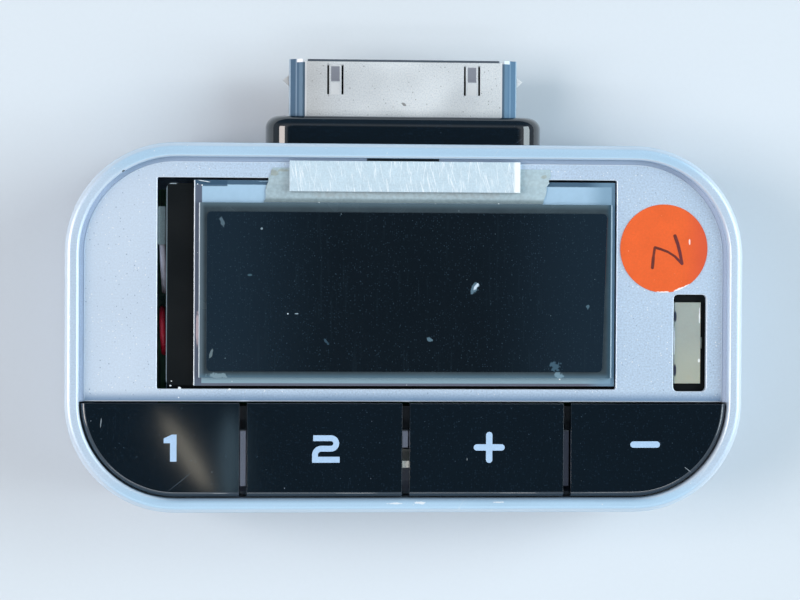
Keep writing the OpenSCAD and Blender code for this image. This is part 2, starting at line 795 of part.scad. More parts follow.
// Black display frame: floor, walls, light pocket and four legs that stand on the main board
module lcd_frame() {
    w = glass_right - frame_left;
    l = glass_top_y - glass_bottom;
    mid = [(glass_right + frame_left) / 2, (glass_top_y + glass_bottom) / 2];
    leg_at = [w / 2 - leg_inset, l / 2 - leg_inset];
    light_y = mid[1] - backlight_size[1] / 2;
    color(soft_black) difference() {
        union() {
            translate([mid[0], mid[1], frame_low]) linear_extrude(glass_low - frame_low)
                round_rect(w, l, frame_corner_r);
            for (s = CORNERS)
                translate([mid[0] + s[0] * leg_at[0], mid[1] + s[1] * leg_at[1], board_top])
                    cylinder(r = leg_r, h = frame_low + frame_floor_t / 2 - board_top);
        }
        span([pocket_left, glass_bottom + frame_wall, reflector_low],
            [glass_right - frame_wall, glass_top_y - frame_wall, glass_low + over]);
        span([pocket_left - backlight_size[0] - seat_fit, light_y - seat_fit, reflector_low],
            [pocket_left + over, light_y + backlight_size[1] + seat_fit, reflector_low + backlight_size[2]
                + backlight_wall]);
    }
}

// Sheet that fills the display frame's pocket
module pocket_sheet(low, high) {
    span([pocket_left + seat_fit, glass_bottom + frame_wall + seat_fit, low],
        [glass_right - frame_wall - seat_fit, glass_top_y - frame_wall - seat_fit, high]);
}

module backlight_reflector() {
    color("white") pocket_sheet(reflector_low, guide_low);
}

module backlight_guide() {
    color([0.86, 0.9, 0.95, 0.6]) pocket_sheet(guide_low, film_low);
}

module lcd_rear_polariser() {
    color([0.55, 0.58, 0.6]) pocket_sheet(film_low, glass_low);
}

// Light that shines into the guide from its left edge
module backlight_led() {
    color(cream) chip([pocket_left - backlight_size[0] / 2, (glass_top_y + glass_bottom) / 2],
        reflector_low, backlight_size);
}

module lcd_lower_glass() {
    color([0.6, 0.7, 0.76, 0.5])
        span([glass_left, glass_bottom, glass_low], [glass_right, glass_top_y, glass_mid]);
}

module lcd_upper_glass() {
    color([0.6, 0.7, 0.76, 0.5])
        span([upper_left, upper_bottom, glass_mid], [upper_right, upper_top, glass_top]);
}

// Dark film on the upper glass
module lcd_front_polariser() {
    w = upper_right - upper_left - 2 * film_border;
    l = upper_top - upper_bottom - film_border - film_border_low;
    mid = [(upper_left + upper_right) / 2, upper_bottom + film_border_low + l / 2];
    color([0.06, 0.08, 0.1]) translate([mid[0], mid[1], glass_top])
        linear_extrude(film_t) round_rect(w, l, film_r);
}

// Flexible circuit from the contact ledge of the glass, round the frame's edge and under it
module lcd_flex() {
    outer = glass_top_y + flex_gap + flex_t;
    foot_z = board_top + flex_socket_h;
    color([0.72, 0.55, 0.25]) {
        span([-flex_w / 2, glass_top_y - flex_ledge_l, glass_mid], [flex_w / 2, outer, glass_mid + flex_t]);
        span([-flex_w / 2, outer - flex_t, foot_z], [flex_w / 2, outer, glass_mid + flex_t]);
        span([-flex_w / 2, flex_foot_y, foot_z], [flex_w / 2, outer, foot_z + flex_t]);
    }
}

// Socket of the flexible circuit on the main board
module flex_socket() {
    color(cream) span([-flex_w / 2, flex_foot_y - flex_socket_l / 2, board_top],
        [flex_w / 2, flex_foot_y + flex_socket_l / 2, board_top + flex_socket_h]);
}

// Clear tape from the glass up to the fascia, its ends torn at a slant
module fixing_tape() {
    low = upper_top + tape_gap;
    color([0.85, 0.85, 0.75, 0.7]) translate([0, 0, fascia_top]) linear_extrude(tape_t)
        polygon([[tape_left, low], [tape_right, low], [tape_right + tape_lean, low + tape_l],
            [tape_left + tape_lean, low + tape_l]]);
}

// Stiff white strip stuck on the tape
module tape_strip() {
    high = inner_l / 2 - fascia_gap - strip_top_gap;
    color("white") span([strip_left, high - strip_l, fascia_top + tape_t],
        [strip_right, high, fascia_top + tape_t + strip_t]);
}

// Round orange marking sticker
module marking_dot() {
    color([0.94, 0.45, 0.23]) translate([dot_x, dot_y, fascia_top]) cylinder(r = dot_r, h = dot_t);
}

// Handwritten number on the sticker
module marking_digit() {
    color([0.25, 0.12, 0.1]) translate([dot_x, dot_y, fascia_top + dot_t]) linear_extrude(ink_t)
        for (i = [0:2]) stroke(ink_shares[i] * dot_r, ink_shares[i + 1] * dot_r, ink_w);
}

// Outside of the black holder round the light pipe
function holder_w() = slot_w + 2 * holder_wall;
function holder_l() = slot_l + 2 * holder_wall;
function pipe_top() = fascia_top - pipe_drop;

// Outline of the light pipe, grown by a clearance
module pipe_outline(grow) {
    square([pipe_w + 2 * grow, pipe_l + 2 * grow], center = true);
}

// Lugs on the light pipe's long sides, grown by a clearance
module pipe_lugs(grow) {
    square([pipe_w + 2 * (pipe_lug_w + grow), pipe_lug_l + 2 * grow], center = true);
}

// Cream translucent block that carries the indicator's light to the slot
module status_light_pipe() {
    low = board_top + status_led_size[2] + status_led_gap;
    color(cream) translate([slot_x + pipe_shift, slot_y, 0]) {
        translate([0, 0, low]) linear_extrude(pipe_top() - low) pipe_outline(0);
        translate([0, 0, fascia_low - holder_drop - pipe_lug_drop])
            linear_extrude(pipe_lug_drop) pipe_lugs(0);
    }
}

// Black holder that stands on the main board and fills the slot round the light pipe
module light_pipe_holder() {
    top = fascia_low - holder_drop;
    color(soft_black) difference() {
        translate([slot_x, slot_y, board_top]) linear_extrude(top - board_top)
            round_rect(holder_w(), holder_l(), slot_r);
        translate([slot_x + pipe_shift, slot_y, 0]) {
            translate([0, 0, board_top - over]) linear_extrude(top - board_top + 2 * over)
                pipe_outline(seat_fit);
            translate([0, 0, top - pipe_lug_drop]) linear_extrude(pipe_lug_drop + over) pipe_lugs(seat_fit);
        }
    }
}

module status_led() {
    color("white") chip([slot_x + pipe_shift, slot_y], board_top, status_led_size);
}

// Cross-section of the plug, eight-sided with sloping bands, drawn in by an even margin
module plug_outline(margin) {
    slope = norm([plug_bevel_w, plug_bevel_h]);
    x = plug_w / 2 - margin;
    y = plug_h / 2 - margin;
    bw = plug_bevel_w - margin + margin * (slope - plug_bevel_w) / plug_bevel_h;
    bh = plug_bevel_h - margin + margin * (slope - plug_bevel_h) / plug_bevel_w;
    polygon([[x, y - bh], [x - bw, y], [bw - x, y], [-x, y - bh],
        [-x, bh - y], [bw - x, -y], [x - bw, -y], [x, bh - y]]);
}

// Sweeps a cross-section of the plug along Y
module along_plug(from, to) {
    translate([0, to, plug_z]) rotate([90, 0, 0]) linear_extrude(to - from) children();
}

// Steel shell of the plug: folded sheet with sloping bands, spring fingers and hook windows
module dock_shell() {
    face = plug_z + plug_h / 2;
    color(steel) difference() {
        union() {
            difference() {
                along_plug(shell_start, plug_tip) plug_outline(0);
                along_plug(shell_start - over, plug_tip + over) plug_outline(plug_sheet);
            }
            for (s = [-1, 1])
                span([s * finger_x - finger_w / 2, plug_tip - finger_top - finger_l / 2,
                    face - plug_sheet - finger_bend],
                    [s * finger_x + finger_w / 2, plug_tip - finger_top, face - plug_sheet / 2]);
        }
        // The flat faces end a little short of the sloping bands
        span([-(plug_w / 2 - plug_bevel_w), plug_tip - band_lift, plug_z - plug_h],
            [plug_w / 2 - plug_bevel_w, plug_tip + over, plug_z + plug_h]);
        for (s = [-1, 1]) {
            for (e = [-1, 1])
                span([s * finger_x + e * (finger_w + finger_slit) / 2 - finger_slit / 2,
                    plug_tip - finger_top - finger_l, plug_z],
                    [s * finger_x + e * (finger_w + finger_slit) / 2 + finger_slit / 2,
                    plug_tip - finger_top, face + over]);
            span([s * finger_x - finger_w / 2, plug_tip - finger_top - finger_l / 2, face - finger_bend],
                [s * finger_x + finger_w / 2, plug_tip - finger_top, face + over]);
            span([s * plug_w / 2 - 2 * plug_sheet, plug_tip - hook_drop - hook_l / 2 - hook_window_gap,
                plug_z - latch_t / 2 - latch_play],
                [s * plug_w / 2 + 2 * plug_sheet, plug_tip - hook_drop + hook_l / 2 + hook_window_gap,
                plug_z + latch_t / 2 + latch_play]);
        }
    }
}

// The contacts as strips on the tongue, which run on to the board as tails
module dock_contacts() {
    color([0.85, 0.7, 0.35])
        for (i = [0:contact_count - 1])
            translate([(i - (contact_count - 1) / 2) * contact_pitch, 0, board_top])
                span([-contact_w / 2, insulator_start - tail_l, 0],
                    [contact_w / 2, plug_tip - tongue_drop - tail_end_gap, contact_t]);
}

// Latch sockets in the insulator, right side: a round seat, a mouth, and the room above them
module latch_socket() {
    translate([latch_x, latch_y, plug_z - latch_t / 2 - latch_play]) {
        cylinder(r = latch_root_r + turn_fit, h = plug_h);
        translate([-latch_w / 2 - latch_mouth, 0, 0]) cube([latch_w + 2 * latch_mouth, block_l, plug_h]);
    }
}

// Black insulator: a block in the shell's root, and a tongue that carries the contacts
module dock_insulator() {
    low = plug_z - plug_h / 2 + plug_sheet + seat_fit;
    color(soft_black) difference() {
        union() {
            along_plug(insulator_start, block_end) plug_outline(plug_sheet + seat_fit);
            span([-tongue_half, block_end - block_l / 2, low],
                [tongue_half, plug_tip - tongue_drop, board_top]);
        }
        for (s = [0, 1]) mirror([s, 0, 0]) latch_socket();
        span([-(contact_count * contact_pitch) / 2, insulator_start - over, board_top],
            [(contact_count * contact_pitch) / 2, block_end + over, board_top + contact_t]);
    }
}

// Steel latch of the right side: rolled root, springy arm, and hook that looks out of the shell
module dock_latch_right() {
    hook_y = plug_tip - hook_drop;
    arm_right = latch_x + latch_w / 2;
    color(steel) translate([0, 0, plug_z - latch_t / 2]) linear_extrude(latch_t) {
        translate([latch_x, latch_y]) circle(latch_root_r);
        polygon([[latch_x - latch_w / 2, latch_y], [arm_right, latch_y],
            [arm_right, hook_y - hook_l / 2], [plug_w / 2, hook_y - hook_l / 2],
            [plug_w / 2 + hook_reach, hook_y], [plug_w / 2, hook_y + hook_lead],
            [arm_right, hook_y + hook_l / 2],
            [latch_x - latch_w / 2, plug_tip - latch_end]]);
    }
}

module dock_latch_left() {
    mirror([1, 0, 0]) dock_latch_right();
}

// Place along the case of the board support at corner s
function support_place(s) = s[1] > 0 ? insulator_start - support_inset : board_low_y + support_inset;

// Green main board with a tab under the indicator
module main_board() {
    color(board_green) translate([0, 0, board_z]) linear_extrude(board_t) difference() {
        union() {
            translate([-board_w / 2, board_low_y]) square([board_w, board_l]);
            translate([0, slot_y - holder_l() / 2 - tab_margin])
                square([inner_w / 2 - tab_gap, holder_l() + 2 * tab_margin]);
        }
        for (s = CORNERS) translate([s[0] * support_x, support_place(s)]) circle(support_pin_r + seat_fit);
    }
}

// Tinned steel can over the transmitter, under the board
module shield_can() {
    w = shield_size[0] - 2 * shield_t;
    l = shield_size[1] - 2 * shield_t;
    color(steel) difference() {
        chip(shield_at, board_z - shield_size[2], shield_size);
        chip(shield_at, board_z - shield_size[2] + shield_t, [w, l, shield_size[2]]);
    }
}

module transmitter_chip() {
    color(soft_black) chip(shield_at, board_z - transmitter_size[2], transmitter_size);
}

module controller_chip() {
    color(soft_black) chip(controller_at, board_top, controller_size);
}

module crystal_can() {
    color(steel) chip(crystal_at, board_z - crystal_size[2], crystal_size);
}

// Small resistors and capacitors, a field on the board's upper side
module passives() {
    color([0.5, 0.4, 0.3])
        for (i = [0:4])
            for (j = [0:2])
                chip([passive_at[0] + i * passive_step[0], passive_at[1] + j * passive_step[1]], board_top,
                    passive_size);
}

// Two wound inductors under the board, in square cases
module inductors() {
    color([0.25, 0.25, 0.27])
        for (i = [0:1])
            chip([inductor_at[0] + i * inductor_step, inductor_at[1]], board_z - inductor_size[2],
                inductor_size);
}

// Points of a ring square to the direction d round the point p
function ring(p, d, r) = let (a = d / norm(d), u = cross(a, [1, 0, 0]), v = u / norm(u), w = cross(a, v))
    [for (k = [0:wire_sides - 1]) p + r * (cos(k * 360 / wire_sides) * v + sin(k * 360 / wire_sides) * w)];

// Round wire along a short route
module wire(route, r) {
    last = len(route) - 1;
    points = [for (i = [0:last])
        each ring(route[i], route[min(i + 1, last)] - route[max(i - 1, 0)], r)];
    sides = [for (i = [0:last - 1]) for (k = [0:wire_sides - 1])
        let (a = i * wire_sides + k, b = i * wire_sides + (k + 1) % wire_sides)
            each [[a, b, a + wire_sides], [b, b + wire_sides, a + wire_sides]]];
    ends = [[for (k = [0:wire_sides - 1]) wire_sides - 1 - k],
        [for (k = [0:wire_sides - 1]) last * wire_sides + k]];
    translate([window_left + window_open / 2, window_mid[1], board_top])
        polyhedron(points, concat(sides, ends), convexity = 4);
}

module antenna_wire() {
    color([0.7, 0.1, 0.15]) wire(antenna_route, wire_r);
}

module supply_wire() {
    color([0.85, 0.8, 0.82]) wire(supply_route, white_wire_r);
}

// The four case screws, with crossed recesses in their heads
module case_screws() {
    color(steel) at_screws() difference() {
        union() {
            translate([0, 0, screw_seat_z - screw_head_h]) cylinder(r = screw_head_r, h = screw_head_h);
            translate([0, 0, screw_seat_z - screw_head_h / 2])
                cylinder(r = screw_r, h = screw_l + screw_head_h / 2);
        }
        for (a = [0, 90]) rotate([0, 0, a])
            translate([-recess_l / 2, -recess_w / 2, screw_seat_z - screw_head_h - over])
                cube([recess_l, recess_w, recess_d + over]);
    }
}

front_bezel();
fascia_plate();
rear_cover();
dock_collar();
keycap(0);  // keycap_one
keycap(1);  // keycap_two
keycap(2);  // keycap_plus
keycap(3);  // keycap_minus
legend_one();
legend_two();
legend_plus();
legend_minus();
key_pad(0);  // key_pad_one
key_pad(1);  // key_pad_two
key_pad(2);  // key_pad_plus
key_pad(3);  // key_pad_minus
key_skirt(0);  // key_skirt_one
key_skirt(1);  // key_skirt_two
key_skirt(2);  // key_skirt_plus
key_skirt(3);  // key_skirt_minus
snap_dome(0);  // snap_dome_one
snap_dome(1);  // snap_dome_two
snap_dome(2);  // snap_dome_plus
snap_dome(3);  // snap_dome_minus
key_mat();
key_board();
board_header();
key_led();
lcd_frame();
lcd_lower_glass();
lcd_upper_glass();
lcd_front_polariser();
lcd_rear_polariser();
backlight_guide();
backlight_reflector();
backlight_led();
lcd_flex();
flex_socket();
fixing_tape();
tape_strip();
marking_dot();
marking_digit();
status_light_pipe();
light_pipe_holder();
status_led();
dock_shell();
dock_insulator();
dock_contacts();
dock_latch_left();
dock_latch_right();
main_board();
shield_can();
transmitter_chip();
controller_chip();
crystal_can();
passives();
inductors();
antenna_wire();
supply_wire();
case_screws();
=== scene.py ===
# %% [markdown]
# # A car FM transmitter, dressed in Blender
# The real object is a palm-sized silver case with a display, four black keys, a light slot and a flat
# steel plug. Its pieces were first drawn as exact solids, and this script puts the finish on them: paint,
# gloss, glass, print, dust and light. It could all be one sculpted mesh, but a real device is put together
# from parts, so each part here is its own piece too and moves as the real one does.

import math
import random

import bmesh
import bpy
from mathutils import Matrix, Vector


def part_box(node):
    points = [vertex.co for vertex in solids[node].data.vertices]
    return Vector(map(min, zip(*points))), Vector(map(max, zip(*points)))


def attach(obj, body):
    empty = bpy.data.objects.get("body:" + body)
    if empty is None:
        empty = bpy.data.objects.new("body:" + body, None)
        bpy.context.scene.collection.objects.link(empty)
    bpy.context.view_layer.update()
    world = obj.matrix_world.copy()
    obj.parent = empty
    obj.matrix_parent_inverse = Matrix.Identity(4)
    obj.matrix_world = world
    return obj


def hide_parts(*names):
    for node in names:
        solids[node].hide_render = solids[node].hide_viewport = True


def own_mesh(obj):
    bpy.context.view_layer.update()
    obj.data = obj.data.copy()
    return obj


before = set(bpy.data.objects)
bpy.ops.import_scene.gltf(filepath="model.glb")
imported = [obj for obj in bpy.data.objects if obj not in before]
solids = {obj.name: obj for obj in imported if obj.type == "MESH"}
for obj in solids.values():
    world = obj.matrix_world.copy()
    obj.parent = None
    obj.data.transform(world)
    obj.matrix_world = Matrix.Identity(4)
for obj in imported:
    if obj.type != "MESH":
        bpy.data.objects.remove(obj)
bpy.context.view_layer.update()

# %% [markdown]
# Blender counts in metres, and the parts are a few millimetres long. All sizes below are written in
# millimetres, as on a drawing, and one factor turns them into metres. The corners of the solids are read
# back in millimetres too, so that every new piece is placed from its neighbours.

# %% Millimetres
MM = 0.001


def corners(node):
    """Lowest and highest corner of a solid, in millimetres."""
    low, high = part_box(node)
    return low / MM, high / MM


case_low, case_high = corners("front_bezel")
fascia_low, fascia_high = corners("fascia_plate")
print("case", [round(v, 2) for v in case_high - case_low], "mm, fascia at", round(fascia_high.z, 2))

# %% [markdown]
# ## Camera
# The photograph was taken from above with a long lens. The camera's place, its small tilt and its focal
# length were worked out from edges whose real places are known, so that the picture can be compared
# with the photograph edge by edge. A camera looks along its own minus Z, so its axes are the columns of
# its turn.

# %% Camera
IMAGE_WIDTH = 800
FOCAL_PIXELS = 2570.1
CAMERA_DISTANCE = 233.2
AIM = Vector((-0.646, 2.594, 13.0))
TILT = (0.01774, 0.07679, -0.00428)

turn = Matrix.Rotation(TILT[2], 3, "Z") @ Matrix.Rotation(TILT[1], 3, "Y") @ Matrix.Rotation(TILT[0], 3, "X")
lens = bpy.data.cameras.new("camera")
lens.sensor_width = 36
lens.lens = FOCAL_PIXELS * lens.sensor_width / IMAGE_WIDTH
lens.clip_start = 0.01
camera = bpy.data.objects.new("camera", lens)
bpy.context.scene.collection.objects.link(camera)
place = (AIM + turn.transposed() @ Vector((0, 0, CAMERA_DISTANCE))) * MM
camera.matrix_world = Matrix.Translation(place) @ turn.transposed().to_4x4()
bpy.context.scene.camera = camera
print("lens", round(lens.lens, 1), "mm, camera at", [round(v, 4) for v in place])

# %% [markdown]
# ## Small tools for materials
# A material is a graph of nodes. Writing each node by hand takes many lines, so a few short functions add
# nodes and fill their sockets. A colour on a screen isn't a share of light: the first function turns the
# familiar 0 to 255 values into the linear ones that Blender works with.


# %% Node helpers
def tone(red, green, blue):
    """Linear colour from screen values of 0 to 255."""
    shares = [v / 255 for v in (red, green, blue)]
    return tuple(v / 12.92 if v < 0.04045 else ((v + 0.055) / 1.055) ** 2.4 for v in shares) + (1.0,)


def add(tree, kind, inputs=None, **settings):
    """Adds a node, sets its settings, and fills or links its inputs by name or number."""
    node = tree.nodes.new(kind)
    for key, value in settings.items():
        setattr(node, key, value)
    for key, value in (inputs or {}).items():
        if isinstance(value, bpy.types.NodeSocket):
            tree.links.new(value, node.inputs[key])
        else:
            node.inputs[key].default_value = value
    return node


def sum_of(tree, operation, a, b=0.0, c=0.0, clamp=False):
    """A number worked out from others."""
    return add(tree, "ShaderNodeMath", {0: a, 1: b, 2: c}, operation=operation, use_clamp=clamp).outputs[0]


def vector_of(tree, operation, a, b):
    """A vector worked out from two others."""
    return add(tree, "ShaderNodeVectorMath", {0: a, 1: b}, operation=operation).outputs[0]


def blend_colours(tree, share, a, b, mode="MIX"):
    """Two colours mixed by a share."""
    return add(tree, "ShaderNodeMix", {0: share, 6: a, 7: b}, data_type="RGBA", blend_type=mode).outputs[2]


def ramp(tree, value, start, end, low=0.0, high=1.0):
    """A number that runs from low to high while the value runs from start to end."""
    sockets = {"Value": value, "From Min": start, "From Max": end, "To Min": low, "To Max": high}
    return add(tree, "ShaderNodeMapRange", sockets, interpolation_type="SMOOTHSTEP").outputs[0]


def new_group(name, inputs, outputs):
    """An empty node group with named sockets."""
    group = bpy.data.node_groups.new(name, "ShaderNodeTree")
    for label, kind, value in inputs:
        socket = group.interface.new_socket(label, in_out="INPUT", socket_type=kind)
        if value is not None:
            socket.default_value = value
    for label in outputs:
        group.interface.new_socket(label, in_out="OUTPUT", socket_type=NUMBER)
    return group, group.nodes.new("NodeGroupInput").outputs, group.nodes.new("NodeGroupOutput").inputs


NUMBER, VECTOR = "NodeSocketFloat", "NodeSocketVector"

# %% [markdown]
# ## Effects that several finishes share
# Paint grain, dust, hair scratches and smudges turn up on many parts, each time at another size. Each
# effect is a node group with named inputs, built once. Grain is soft noise a tenth of a millimetre wide:
# it lightens and darkens the colour and gives the height for a bump.

# %% Grain
grain_group, given, made = new_group(
    "fine_grain",
    [("Where", VECTOR, None), ("Size", NUMBER, 0.12), ("Strength", NUMBER, 0.1)],
    ["Tone", "Height"],
)
scale = sum_of(grain_group, "DIVIDE", 1 / MM, given["Size"])
noise = add(grain_group, "ShaderNodeTexNoise", {"Vector": given["Where"], "Scale": scale, "Detail": 2.0})
centred = sum_of(grain_group, "SUBTRACT", noise.outputs["Fac"], 0.5)
spread = sum_of(grain_group, "MULTIPLY", centred, given["Strength"])
grain_group.links.new(sum_of(grain_group, "MULTIPLY_ADD", spread, 2.0, 1.0), made["Tone"])
grain_group.links.new(noise.outputs["Fac"], made["Height"])
print(grain_group.name, len(grain_group.nodes), "nodes")

# %% [markdown]
# Dust is a scatter of dots. A Voronoi texture cuts the surface into cells: a cell shows a dot round its
# seed where a random number of its own falls under the wanted share.

# %% Specks
speck_group, given, made = new_group(
    "specks",
    [("Where", VECTOR, None), ("Spacing", NUMBER, 1.0), ("Radius", NUMBER, 0.05), ("Share", NUMBER, 0.3)],
    ["Mask"],
)
scale = sum_of(speck_group, "DIVIDE", 1 / MM, given["Spacing"])
cells = add(speck_group, "ShaderNodeTexVoronoi", {"Vector": given["Where"], "Scale": scale})
dice = add(speck_group, "ShaderNodeSeparateColor", {"Color": cells.outputs["Color"]})
shown = sum_of(speck_group, "LESS_THAN", dice.outputs[0], given["Share"])
own_size = sum_of(speck_group, "MULTIPLY", sum_of(speck_group, "ADD", dice.outputs[1], 0.4), given["Radius"])
reach = sum_of(speck_group, "DIVIDE", own_size, given["Spacing"])
inside = ramp(speck_group, cells.outputs["Distance"], reach, sum_of(speck_group, "MULTIPLY", reach, 0.6))
speck_group.links.new(sum_of(speck_group, "MULTIPLY", inside, shown), made["Mask"])
print(speck_group.name, len(speck_group.nodes), "nodes")

# %% [markdown]
# A hair scratch is a thin line in one direction. Noise that is stretched twentyfold makes such lines,
# and only its highest crests are kept, so that few of them show and each is broken here and there.

# %% Scratches
scratch_group, given, made = new_group(
    "hair_scratches",
    [("Where", VECTOR, None), ("Turn", NUMBER, 0.5), ("Spacing", NUMBER, 0.6), ("Share", NUMBER, 0.1)],
    ["Mask"],
)
turned = add(scratch_group, "ShaderNodeVectorRotate", {"Vector": given["Where"], "Angle": given["Turn"]})
scale = sum_of(scratch_group, "DIVIDE", 1 / MM, given["Spacing"])
stretched = vector_of(scratch_group, "MULTIPLY", turned.outputs[0], (1.0, 0.05, 1.0))
noise = add(scratch_group, "ShaderNodeTexNoise",
            {"Vector": stretched, "Scale": scale, "Detail": 3.0, "Roughness": 0.7})
edge = sum_of(scratch_group, "MULTIPLY_ADD", given["Share"], -0.2, 0.72)
lines = ramp(scratch_group, noise.outputs["Fac"], edge, sum_of(scratch_group, "ADD", edge, 0.05))
scratch_group.links.new(lines, made["Mask"])
print(scratch_group.name, len(scratch_group.nodes), "nodes")

# %% [markdown]
# Some marks have one known place, such as a smear on the display film. This group makes a soft ellipse
# with a ragged edge round a point: the distance from the point is stretched, turned and disturbed by
# noise before it is compared with one.

# %% Placed marks
mark_group, given, made = new_group(
    "placed_mark",
    [("Where", VECTOR, None), ("Centre", VECTOR, None), ("Half", VECTOR, (1, 1, 1)), ("Turn", NUMBER, 0.0),
     ("Ragged", NUMBER, 0.6)],
    ["Mask"],
)
in_mm = vector_of(mark_group, "MULTIPLY", given["Where"], (1 / MM, 1 / MM, 1 / MM))
off = vector_of(mark_group, "SUBTRACT", in_mm, given["Centre"])
turned = add(mark_group, "ShaderNodeVectorRotate", {"Vector": off, "Angle": given["Turn"]})
flat = vector_of(mark_group, "MULTIPLY", turned.outputs[0], (1, 1, 0))
shares = vector_of(mark_group, "DIVIDE", flat, given["Half"])
away = add(mark_group, "ShaderNodeVectorMath", {0: shares}, operation="LENGTH")
noise = add(mark_group, "ShaderNodeTexNoise", {"Vector": in_mm, "Scale": 3.0, "Detail": 3.0})
centred = sum_of(mark_group, "SUBTRACT", noise.outputs["Fac"], 0.5)
shaken = sum_of(mark_group, "MULTIPLY", centred, sum_of(mark_group, "MULTIPLY", given["Ragged"], 2.0))
far = sum_of(mark_group, "ADD", away.outputs["Value"], shaken)
mark_group.links.new(ramp(mark_group, far, 1.0, 0.6), made["Mask"])
print(mark_group.name, len(mark_group.nodes), "nodes")

# %% [markdown]
# ## One way to make every finish
# Most finishes of a device differ in numbers only: colour, gloss, grain, blotches and dust. So one class
# builds them, and keeps the socket that feeds the colour open, so that print, wear or marks can be laid
# over it afterwards. Colours are given as screen values. Patterns read Object coordinates, which stay with
# a part when it moves.

# %% Finishes
EDGE = "edge"


class Finish:
    """A material with grain and blotches, on which more layers can be put."""

    def __init__(self, name, colour, roughness, metallic=0.0, grain=(0.12, 0.0), blotch=(6.0, 0.0), bump=0.0):
        self.material = bpy.data.materials.new(name)
        self.material.use_nodes = True
        self.tree = self.material.node_tree
        self.shader = self.tree.nodes["Principled BSDF"]
        self.where = add(self.tree, "ShaderNodeTexCoord").outputs["Object"]
        self.shader.inputs["Metallic"].default_value = metallic
        fine = self.group(grain_group, {"Size": grain[0], "Strength": grain[1]})
        wide = self.group(grain_group, {"Size": blotch[0], "Strength": blotch[1]})
        level = sum_of(self.tree, "MULTIPLY", fine.outputs["Tone"], wide.outputs["Tone"])
        self.height = fine.outputs["Height"]
        shade = add(self.tree, "ShaderNodeCombineColor", {0: level, 1: level, 2: level}).outputs[0]
        self.colour = blend_colours(self.tree, 1.0, tone(*colour), shade, "MULTIPLY")
        self.rough = ramp(self.tree, wide.outputs["Height"], 0.3, 0.7, roughness * 0.9, roughness * 1.1)
        self.bump = add(self.tree, "ShaderNodeBump", {"Strength": bump, "Distance": 0.01 * MM})
        self.close()

    def group(self, group, inputs):
        """Adds one of the shared effects."""
        node = add(self.tree, "ShaderNodeGroup", node_tree=group)
        self.tree.links.new(self.where, node.inputs["Where"])
        for key, value in inputs.items():
            node.inputs[key].default_value = value
        return node

    def close(self):
        """Leads colour, roughness and bump to the shader."""
        self.tree.links.new(self.colour, self.shader.inputs["Base Color"])
        self.tree.links.new(self.rough, self.shader.inputs["Roughness"])
        self.tree.links.new(self.height, self.bump.inputs["Height"])
        self.tree.links.new(self.bump.outputs[0], self.shader.inputs["Normal"])

    def lay(self, mask, colour, share=1.0):
        """Lays a colour over the finish where the mask is white."""
        amount = sum_of(self.tree, "MULTIPLY", mask, share, clamp=True)
        self.colour = blend_colours(self.tree, amount, self.colour, tone(*colour))
        self.close()

    def fade(self, value, start, end, colour, share=1.0):
        """Lays a colour that comes in while a value runs from start to end."""
        self.lay(ramp(self.tree, value, start, end), colour, share)

    def band(self, value, start, end, colour, share=1.0, soft=0.04):
        """Lays a colour where a value lies between start and end."""
        self.lay(self.between(value, start, end, soft), colour, share)

    def patch(self, first, second, colour, share=1.0):
        """Lays a colour on a rectangle. Each side is a value with its start, its end and its softness."""
        self.lay(self.both(self.between(*first), self.between(*second)), colour, share)

    def edge_highlight(self, colour, share):
        """Lays a painted highlight on the softened edges, which the mesh marks."""
        self.lay(add(self.tree, "ShaderNodeAttribute", attribute_name=EDGE).outputs["Fac"], colour, share)

    def specks(self, colour, spacing, radius, share, strength=1.0):
        """Scatters dots over the finish."""
        dots = self.group(speck_group, {"Spacing": spacing, "Radius": radius, "Share": share})
        self.lay(dots.outputs[0], colour, strength)

    def scratches(self, colour, turn_by, spacing, share, strength=0.5):
        """Draws thin broken lines in one direction."""
        lines = self.group(scratch_group, {"Turn": turn_by, "Spacing": spacing, "Share": share})
        self.lay(lines.outputs[0], colour, strength)

    def mark(self, colour, centre, half, turn_by=0.0, ragged=0.6, strength=1.0):
        """Puts one soft mark on a known place."""
        settings = {"Centre": (*centre, 0.0), "Half": (*half, 1.0), "Turn": turn_by, "Ragged": ragged}
        self.lay(self.group(mark_group, settings).outputs[0], colour, strength)

    def axis(self, letter, absolute=False):
        """The place along one axis, in millimetres."""
        split = add(self.tree, "ShaderNodeSeparateXYZ", {0: self.where})
        value = sum_of(self.tree, "MULTIPLY", split.outputs["XYZ".index(letter)], 1 / MM)
        return sum_of(self.tree, "ABSOLUTE", value) if absolute else value

    def between(self, value, start, end, soft=0.04):
        """A mask that is white from start to end."""
        rise = ramp(self.tree, value, start - soft, start + soft)
        fall = ramp(self.tree, value, end + soft, end - soft)
        return sum_of(self.tree, "MULTIPLY", rise, fall)

    def both(self, a, b):
        """A mask that is white where both masks are."""
        return sum_of(self.tree, "MULTIPLY", a, b)

    def set(self, **values):
        """Sets values of the shader that stay the same all over the part."""
        for key, value in values.items():
            self.shader.inputs[key.replace("_", " ").title()].default_value = value


# %% [markdown]
# ## Floor, light and surroundings
# The object lies on a pale table top. Soft lamps stand round it at some height, and none is right above:
# a lamp up there would be mirrored in the black keys and the display, which look dark from above. The
# surroundings follow the same rule, with a dim patch overhead, a bright ring round it and grey walls.
# The ring and the lamps give edges their thin bright lines, which some finishes strengthen with a painted
# highlight, while flat gloss stays dark.

# %% Floor
floor_mesh = bmesh.new()
bmesh.ops.create_grid(floor_mesh, x_segments=1, y_segments=1, size=3.0)
floor_data = bpy.data.meshes.new("table_top")
floor_mesh.to_mesh(floor_data)
floor_mesh.free()
floor = bpy.data.objects.new("table_top", floor_data)
bpy.context.scene.collection.objects.link(floor)
paper = Finish("table_top", (212, 219, 225), 0.9, grain=(0.4, 0.012), blotch=(40, 0.01))
floor_data.materials.append(paper.material)
print("floor", floor.name)

